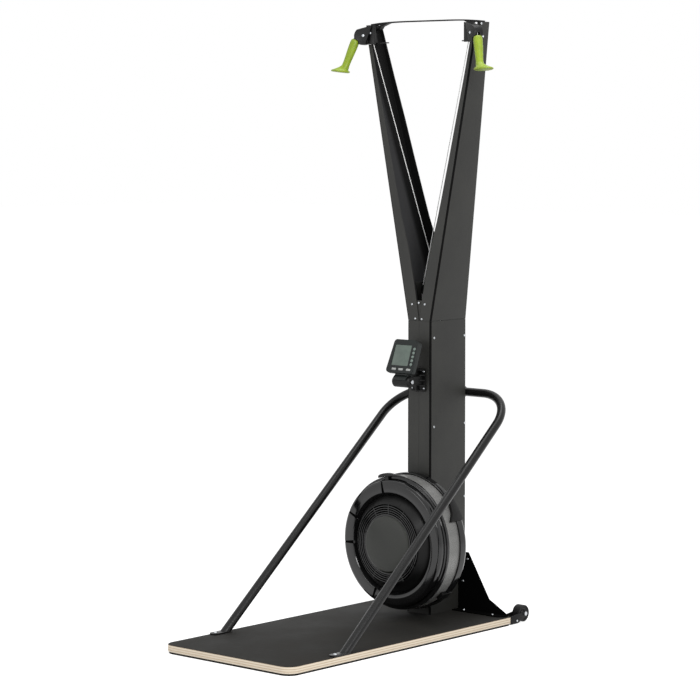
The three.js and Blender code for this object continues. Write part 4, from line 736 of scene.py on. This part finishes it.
def heads_cords_and_grips():
    for side, _, matrix in SIDES:
        fit_packed(f"head_casting_{side}", f"{side}_pulley_head", 1.4, nylon, "dark_moulding")
        fit(f"head_pulley_{side}", moved(pulley(30, HEAD_CORD, 72), matrix @ HEAD_TURN), nylon,
            "dark_moulding", f"{side}_top_pulley", body=f"{side}_top_pulley")
        fit(f"grip_{side}", moved(grip_form(), matrix), lime_rubber, "green_grip", f"{side}_handle",
            body=f"{side}_handle")
        idler, sign, idler_side = IDLERS[side]
        fit(f"idler_wheel_{side}", moved(pulley(21, IDLER_CORD, 60), Matrix.Translation(idler)), nylon,
            "dark_moulding", f"{side}_idler_pulley", body=f"{side}_idler")
        fit(f"arm_cord_braid_{side}", swept(arm_cord_path(idler, sign, idler_side), CORD, 12),
            white_braid, "white_cord", f"{side}_arm_cord")
        start, end = CORD_EXIT + GRIP_AXIS * 0.3, GRIP_TOP + GRIP_AXIS * 5.7
        line = [start.lerp(end, i / 40) for i in range(41)]
        cord = fit(f"pull_cord_braid_{side}", moved(swept(line, CORD, 12), matrix), white_braid,
                   "white_cord", f"{side}_pull_cord", body=None)
        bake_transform(cord)
        bolts(f"head_bolts_{side}", [
            (HEAD - HEAD_AXLE * 17, -HEAD_AXLE, 5.5, 3), ((234, 1012, 2169), (0, -1, 0), 4.6, 2.6),
            ((arm_half(2193), 1050, 2193), (1, 0, 0), 4.6, 2.4),
            ((arm_half(2147), 1071, 2147), (1, 0, 0), 4.6, 2.4)], matrix)


# Bar between the arm tops
def cross_bar():
    """A bent flat bar: level at the middle, falling to its ends, with a slotted corner plate at each."""
    top, thick, reach, end_top, deep, front = 2212, 4.5, 80, ARM_TOP + 4, 22, 1051
    low = end_top - 28
    outer = lambda z: arm_half(z) - 3.3
    root = outer(low) - reach
    crown = lambda x: top - 8 * (x / outer(end_top)) ** 4
    upper = [(x, crown(x)) for x in (outer(end_top) * i / 32 for i in range(33))]
    under = [(x, crown(x) - thick) for x in (root * i / 12 for i in range(13))]
    right = upper + [(outer(low), low), (root + 42, low + 8), (root + 34, low + 18)] + under[::-1]
    slots = [rounded_box(root + 38, root + 66, low + 15, low + 23.5, 4)]
    slots.append([(-x, z) for x, z in slots[0]])
    form = softened(slab(right + [(-x, z) for x, z in right[-2:0:-1]], deep, slots), 0.9)
    fit("cross_bar_plate", upright(form, front), coat_satin, "dark_paint", "cross_bar")


# Flywheel housing, on an axis along Y. Angles are in degrees from +X upwards
NOTCHES = [102, 154.5, 184, 247]
NOTCH_HALF, NOTCH_DEEP = 1.9, 3
SLOT_START, SLOT_END, SLOT_INNER, SLOT_OUTER = 61, 104, 212, 246
LEVER_Y = 893
CAP_RADIUS, GRILLE_RADIUS, SPOKES, BAND_RADIUS = 109, 148, 12, 240.5


def on_axis(form):
    return moved(form, Matrix.Translation((0, 0, AXIS_HEIGHT)))


def polar(x, z):
    return hypot(x, z), degrees(atan2(z, x)) % 360


def cover_profile(depth):
    """The cover's section; a notch drops its flat face by a depth."""
    return eased([(173, 882, 0.5), (185.2, 864.9 + depth, 2.5), (196, 864 + depth, 6),
                  (219, 864.6 + depth * 0.9, 5), (227.5, 868.5 + depth * 0.4, 5), (229, 876, 3),
                  (229, 893, 3), (232, 896, 3), (241, 896.4, 2.5), (241, 905.3, 0.6), (234, 905.3, 0.6),
                  (234, 900, 1), (226, 899.5, 2), (225, 876, 2), (217, 869.6, 2), (186, 869.6, 2),
                  (177, 882, 1)], 2, 3)


def flywheel_cover():
    """The gloss front ring, its tapered notches sunk and painted near black as shade, with the lever's slot.
    """
    depths = [(2.5 * i, 0) for i in range(144)]
    for angle in NOTCHES:
        depths = [step for step in depths if abs(step[0] - angle) > NOTCH_HALF + 0.9]
        depths += [(angle - NOTCH_HALF - 0.3, 0), (angle + NOTCH_HALF + 0.3, 0)]
        depths += [(angle + NOTCH_HALF * share, NOTCH_DEEP) for share in (-1, -0.5, 0, 0.5, 1)]
    depth = dict(sorted(depths))
    form = turned(lambda angle: cover_profile(depth[angle]), at=list(depth))
    for vert in form.verts:
        radius, angle = polar(vert.co.x, vert.co.z)
        for centre in NOTCHES:
            if abs(angle - centre) < NOTCH_HALF + 0.5:
                # From 12 mm wide at the inner rim to 5 mm at the outer one
                taper = (12 - 7 * (radius - 174) / 55) / 12 * 174 / radius
                turn = radians(centre + (angle - centre) * max(taper, 0.3))
                vert.co.x, vert.co.z = radius * cos(turn), radius * sin(turn)
    # The floors of the notches take the near-black matt: painted shade in the notches
    for face in form.faces:
        middle = face.calc_center_median()
        radius, angle = polar(middle.x, middle.z)
        if middle.y < 869 and 176 < radius < 227 and any(abs(angle - c) < NOTCH_HALF for c in NOTCHES):
            face.material_index = 1
    slot = slab(arc(0, 0, SLOT_INNER, SLOT_START, SLOT_END, 24) +
                arc(0, 0, SLOT_OUTER, SLOT_END, SLOT_START, 24), 3.6)
    form = cut(form, upright(slot, 885.7))
    fit("cover_gloss_shell", on_axis(form), [gloss_abs, coat_matt_painted_shade], "gloss_cover", "flywheel_cover")


def intake_grille():
    """A dished rim, a hub ring, and four rings and twelve spokes between them, with the cap in front."""
    forms = [turned(eased([(173.7, 880), (173.7, 884), (144, 855), (144, 846), (148, 850)], 0.8, 2), 144),
             turned(eased([(103, 844), (CAP_RADIUS, 844), (CAP_RADIUS, 893), (103, 893)], 1.2, 3), 120)]
    for i in range(4):
        inner = GRILLE_RADIUS - 12 - 8 * i
        ring = [(inner, 846), (inner + 3.4, 846), (inner + 3.4, 852), (inner, 852)]
        forms.append(turned(eased(ring, 1, 3), 120))
    for i in range(SPOKES):
        spoke = upright(slab(rounded_box(106, 146, -1.5, 1.5, 0.6, 2), 5), 849)
        forms.append(moved(spoke, Matrix.Rotation(-2 * pi * i / SPOKES, 4, "Y")))
    grille = gathered(forms)
    for face in grille.faces:
        middle = face.calc_center_median()
        face.material_index = 1 if hypot(middle.x, middle.z) < GRILLE_RADIUS - 5 else 0
    fit("grille_rings", on_axis(grille), [grained_abs, gloss_abs], "dark_moulding", "intake_grille")
    cap = turned(eased([(0, 837, 0), (70, 837.2, 30), (97, 838.2, 3), (102.7, 842, 2), (102.7, 849, 0.6),
                        (99.7, 849, 0.6), (99.7, 844, 1), (96, 841.5, 1), (0, 840, 0)], 1, 4), 120)
    fit("cap_face", on_axis(cap), cap_abs, "dark_moulding", "centre_cap")


def screen_band():
    """A punched band, with UV along and across it in metres."""
    form = turned([(238, 905.6), (BAND_RADIUS, 905.6), (BAND_RADIUS, 961.7), (238, 961.7)], 144)
    uv = form.loops.layers.uv.new("UVMap")
    for face in form.faces:
        angles = [atan2(loop.vert.co.z, loop.vert.co.x) for loop in face.loops]
        for loop, angle in zip(face.loops, angles):
            if max(angles) - min(angles) > pi and angle < 0:
                angle += 2 * pi
            loop[uv].uv = (angle * BAND_RADIUS / 1000, loop.vert.co.y / 1000)
    fit("screen_band", on_axis(form), screen_steel, "screen_metal", "perforated_screen")


def rear_housing():
    section = [(238, 962, 0.6), (247, 962, 1.5), (248.5, 986, 8), (244, 996, 6), (200, 1006, 20),
               (60, 1020.7, 4), (14, 1020.7, 0.6), (14, 1016.7, 0.6), (56, 1016.7, 4), (198, 1002, 8),
               (244.5, 984, 6), (243, 966, 1), (238, 966, 0.6)]
    form = turned(eased(section, 2, 4), 144)
    fit("rear_gloss_shell", on_axis(form), gloss_abs, "gloss_cover", "rear_housing")


def lever_and_straps():
    """The damper's lever, a leaf that thins along the slot on a short stem, and the two straps over
    the punched band. A ring of the leaf has an angle, a half width, and an inner and outer radius."""
    leaf = [(110, 4, 242.6, 246), (108.8, 8.5, 241.7, 250), (106, 11.6, 241.4, 253),
            (102, 12.4, 241.4, 254), (98.5, 11.4, 241.4, 252.8), (95, 9, 241.4, 250.6),
            (91.5, 6.6, 241.4, 248.6), (87, 5, 241.4, 247), (82.5, 3.8, 241.4, 246),
            (79.6, 2.2, 241.4, 244.4)]
    rings = []
    for angle, half, low, high in leaf:
        turn = radians(angle)
        section = rounded_box(-half, half, low, high, 1.2, 3)
        rings.append([(r * cos(turn), LEVER_Y + y, r * sin(turn)) for y, r in section])
    stem = slab(arc(0, 0, 218.3, 98, 102, 1) + arc(0, 0, 245, 102, 98, 1), 3)
    fit("lever_moulding", on_axis(gathered([lofted(rings), upright(stem, 886)])), nylon,
        "dark_moulding", "damper_lever", body="damper")
    for strap, width in (("screen_bracket", 0.5), ("screen_clip", 0.6)):
        fit_packed(f"{strap}_moulding", strap, width, grained_abs, "dark_moulding")


# Monitor, drawn on a flat face (x across, z up the face, y into the case) and then tilted
MONITOR = Matrix.Translation((-4, 907, 920)) @ Matrix.Rotation(-radians(20.7), 4, "X")
LCD_BOX = (-42.5, 34.5, 28, 106)
BUTTON_X, BUTTONS_Z = 49.5, [34 + 14.7 * i for i in range(5)]
KEYS_X, KEY_LOW, KEY_HIGH, KEY_HALF = (-25, 7, 43), 10, 18, 10
BARREL_Y, BARREL_Z, BARREL_RADIUS, CRADLE_HALF = 930, 887, 21, 30
CASE_TALL = 127


def case_outline(inset):
    """The case's trapezoid outline, wider at the bottom, with the same points for every inset."""
    low, high, corner = 62, 53.5, 13
    lean = degrees(atan2(low - high, CASE_TALL))
    foot, top, radius = corner, CASE_TALL - corner, corner - inset
    return [*arc(low - corner, foot, radius, -90, lean, 8), *arc(high - corner, top, radius, lean, 90, 8),
            *arc(corner - high, top, radius, 90, 180 - lean, 8),
            *arc(corner - low, foot, radius, 180 - lean, 270, 8)]


def monitor_forms():
    """The bezel with its openings, and behind it the shell, which deepens towards the top."""
    x0, x1, z0, z1 = LCD_BOX
    holes = [rounded_box(x0 - 0.4, x1 + 0.4, z0 - 0.4, z1 + 0.4, 4)]
    holes += [arc(BUTTON_X, z, 5.9, 0, 360, 24)[:-1] for z in BUTTONS_Z]
    holes += [rounded_box(x - KEY_HALF - 0.3, x + KEY_HALF + 0.3, KEY_LOW - 0.3, KEY_HIGH + 0.3, 2.2)
              for x in KEYS_X]
    bezel = upright(softened(slab(case_outline(0.6), 5, holes), 1), 0)
    rings = [[(x, 4.7, z) for x, z in case_outline(0)]]
    for inset, short in ((0, 8), (1.2, 2.5), (5, 0)):
        rings.append([(x, 24 + 14 * z / CASE_TALL - short, z) for x, z in case_outline(inset)])
    return [moved(form, MONITOR) for form in (bezel, lofted(rings))]


def monitor():
    """The case with the half ring that turns on the barrel, its glass, buttons and keys, and the bracket."""
    hold = (arc(BARREL_Y, BARREL_Z, BARREL_RADIUS + 5.3, 58, 160, 17) +
            arc(BARREL_Y, BARREL_Z, BARREL_RADIUS + 0.3, 165, 63, 17))
    across = Matrix(((0, 0, 1, -CRADLE_HALF), (1, 0, 0, 0), (0, 1, 0, 0), (0, 0, 0, 1)))
    cradle = moved(softened(slab(hold, 2 * CRADLE_HALF), 1), across)
    neck = slab([(-CRADLE_HALF, 0), (CRADLE_HALF, 0), (CRADLE_HALF, 16), (-CRADLE_HALF, 16)], 21)
    neck = moved(upright(softened(neck, 1.5), BARREL_Y - 10.5),
                 Matrix.Translation((0, 0, BARREL_Z + BARREL_RADIUS + 0.5)))
    fit("monitor_shell", gathered([*monitor_forms(), cradle, neck]), monitor_abs, "dark_moulding",
        "monitor_case", body="monitor")
    glass = upright(softened(slab(rounded_box(*LCD_BOX, 3.6), 2), 0.3), 1)
    fit("lcd_pane", moved(glass, MONITOR), lcd_cell, "lcd_glass", "lcd_window", body="monitor")
    dome = [(0, -1.6), (2.6, -1.55), (4.3, -1.3), (5.2, -0.8), (5.6, 0), (5.6, 2.2), (0, 2.2)]
    for number, z in zip((5, 4, 3, 2, 1), BUTTONS_Z):
        button = turned(dome, 32)
        fit(f"round_button_{number}", moved(button, MONITOR @ Matrix.Translation((BUTTON_X, 0, z))),
            button_rubber, "light_key", f"side_button_{number}", body=f"button_{number}")
    for number, x in enumerate(KEYS_X, 1):
        pad = rounded_box(x - KEY_HALF, x + KEY_HALF, KEY_LOW, KEY_HIGH, 2, 4)
        key = upright(softened(slab(pad, 3), 0.7), -0.8)
        fit(f"soft_key_pad_{number}", moved(key, MONITOR), silicone_key, "light_key",
            f"soft_key_{number}", body=f"key_{number}")
    section = [(0, -44, 0), (9, -44, 1), (9, -41, 0.5), (15, -41, 2), (BARREL_RADIUS, -35, 4)]
    barrel = turned(eased(both_ways(section), 1, 4), 64)
    fit("pivot_barrel", moved(barrel, Matrix.Translation((0, BARREL_Y, BARREL_Z)) @ LYING), grained_abs,
        "dark_moulding", "monitor_pivot")
    cap = turned(eased([(0, 0, 0), (7, 0, 0.8), (7, 1.6, 0.8), (0, 2, 0)], 0.5, 2), 32)
    fit("pivot_screw", moved(cap, Matrix.Translation((44, BARREL_Y, BARREL_Z)) @ LYING), zinc, "bright_steel")
    fit_packed("bracket_moulding", "monitor_bracket", 0.7, grained_abs, "dark_moulding")
    bolts("bracket_bolts", [((x, 1015.6, z), (0, -1, 0), 4, 2.4) for x in (-27, 27) for z in (919, 857)])


# Transport wheels, and folded plates at the foot of the column
WHEEL = Vector((275.4, 1278, 32))
# The plates at the column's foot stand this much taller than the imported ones
GUSSET_STRETCH = 1.025


def wheels_and_plates():
    """Two cast tyres on moulded hubs with their forks, the gussets, and the clamps up the column."""
    tread = both_ways([(19, -13, 1), (23, -14, 1), (25, -17, 1), (28.5, -17, 2.5), (30, -15, 2.5)])
    hub = both_ways([(4.3, -17, 0.6), (11, -17, 1.5), (14, -12, 2), (19.5, -12.5, 1)])
    taller = (Matrix.Translation((0, 0, BOARD_TOP * (1 - GUSSET_STRETCH)))
              @ Matrix.Scale(GUSSET_STRETCH, 4, (0, 0, 1)))
    for side, sign, _ in SIDES:
        tyre, core = turned(eased(tread, 1), 64), turned(eased(hub, 1), 48)
        for face in core.faces:
            face.material_index = 1
        lay = Matrix.Translation((sign * WHEEL.x, WHEEL.y, WHEEL.z)) @ LYING
        fit(f"wheel_and_tyre_{side}", moved(gathered([tyre, core]), lay), [tyre_rubber, nylon],
            "wheel_tyre", f"{side}_wheel", body=f"{side}_transport_wheel")
        fit_packed(f"fork_plate_{side}", f"{side}_wheel_bracket", 0.6, coat_satin, "dark_paint")
        fit_packed(f"axle_bolt_{side}", f"{side}_wheel_axle", 0.8, zinc, "bright_steel", angle=50)
        # The gussets take the near-black matt as painted shade at the column's foot
        fit_packed(f"gusset_plate_{side}", f"{side}_gusset", 0.9, coat_matt_painted_shade, "dark_paint", place=taller)
        bolts(f"gusset_screws_{side}", [
            ((sign * 100, 1185, 221), (0, -1, 0), 4.5, 2.6), ((sign * 78, 1185, 138), (0, -1, 0), 4.5, 2.6),
            ((sign * 98, 1166, 35.3), (0, 0, 1), 5, 3.2), ((sign * 232, 1166, 35.3), (0, 0, 1), 5, 3.2),
            ((sign * 296, 1231, 11.5), (sign, 0, 0), 4.5, 3)])
    fit_packed("saddle_clamp", "hoop_saddle", 0.8, coat_black, "dark_paint")
    fit_packed("joint_plate_painted", "arm_joint_plate", 0.6, coat_graphite, "column_paint")


def dress_inner_nodes():
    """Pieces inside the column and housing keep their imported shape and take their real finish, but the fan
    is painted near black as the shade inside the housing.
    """
    # The fan takes the near-black matt: painted shade inside the housing
    dress = ((pad_rubber, "base_pad"), (coat_graphite, "idler_bracket"), (coat_matt_painted_shade, "flywheel_fan"),
             (grained_abs, "damper_ring"), (turned_aluminium, "left_cord_drum", "right_cord_drum"),
             (black_braid, "left_return_cord", "right_return_cord"),
             (ground_steel, "drive_shaft", "front_bearing", "rear_bearing"))
    for finish, *names in dress:
        for name in names:
            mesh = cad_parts[name].data
            mesh.materials.clear()
            mesh.materials.append(finish)


# Floor, light and camera
def seen_directly(tree):
    """One for rays from the camera, and for those that metal and glass reflect or pass."""
    path = put(tree, "LightPath")
    gloss = put(tree, "Math", {0: path.outputs["Is Camera Ray"], 1: path.outputs["Is Glossy Ray"]},
                operation="MAXIMUM")
    return put(tree, "Math", {0: gloss, 1: path.outputs["Is Transmission Ray"]}, operation="MAXIMUM")


def studio():
    """A pale floor that glows a little to the camera, a white room, and three soft lamps."""
    material, tree, place = blank("studio_floor_pale")
    _, shade = drifting(tree, place, 0.5, 2, (0.3, "cccccc"), (0.7, "d0d0d0"))
    lit = put(tree, "BsdfDiffuse", {"Color": shade})
    glow = put(tree, "Emission", {"Strength": 0.78})
    bright = put(tree, "AddShader", {0: lit, 1: glow})
    mix = put(tree, "MixShader", {"Fac": seen_directly(tree), 1: lit, 2: bright})
    put(tree, "OutputMaterial", {"Surface": mix})
    half, thick = 40, 0.02
    corners = ((-half, -half), (half, -half), (half, half), (-half, half))
    mesh = as_mesh("studio_floor", lofted([[(x, y, z) for x, y in corners] for z in (0, -thick)]))
    mesh.materials.append(material)
    stood("studio_floor", mesh)

    world = bpy.context.scene.world = bpy.data.worlds.new("studio")
    world.use_nodes = True
    tree = world.node_tree
    tree.nodes.clear()
    soft = put(tree, "Background", {"Color": (1, 1, 1, 1), "Strength": 0.4})
    bright = put(tree, "Background", {"Color": (1, 1, 1, 1), "Strength": 1})
    mix = put(tree, "MixShader", {"Fac": seen_directly(tree), 1: soft, 2: bright})
    put(tree, "OutputWorld", {"Surface": mix})

    aim = Vector((0, 0.2, 0.9))
    lamps = (("softbox_right", (3.6, -1.6, 3), 1.6, 100), ("softbox_front", (-1.6, -4.2, 1.5), 1.4, 28),
             ("softbox_top", (0.2, 0.6, 5), 2.6, 70))
    for name, place, size, power in lamps:
        data = bpy.data.lights.new(name, "AREA")
        data.shape, data.size, data.energy = "SQUARE", size, power
        lamp = stood(name, data)
        lamp.location = place
        lamp.rotation_euler = (aim - Vector(place)).to_track_quat("-Z", "Y").to_euler()


def camera():
    """A camera at eye height, to the front and right, framed down to the machine."""
    data = bpy.data.cameras.new("camera")
    data.sensor_width, data.lens, data.shift_x, data.shift_y = 36, 130.5, -0.0017, -0.3777
    seat = stood("camera", data)
    seat.location = (5.9761, -6.8355, 1.7931)
    turn = Matrix.Rotation(radians(41.231), 3, "Z") @ Matrix.Rotation(radians(91.075), 3, "X")
    seat.rotation_euler = (turn @ Matrix.Rotation(0.00321, 3, "Z")).to_euler()
    bpy.context.scene.camera = seat


camera()
standing_board()
column_and_arms()
support_hoop()
heads_cords_and_grips()
cross_bar()
flywheel_cover()
intake_grille()
screen_band()
rear_housing()
lever_and_straps()
monitor()
wheels_and_plates()
dress_inner_nodes()
studio()
bpy.context.scene.view_settings.view_transform = "Standard"
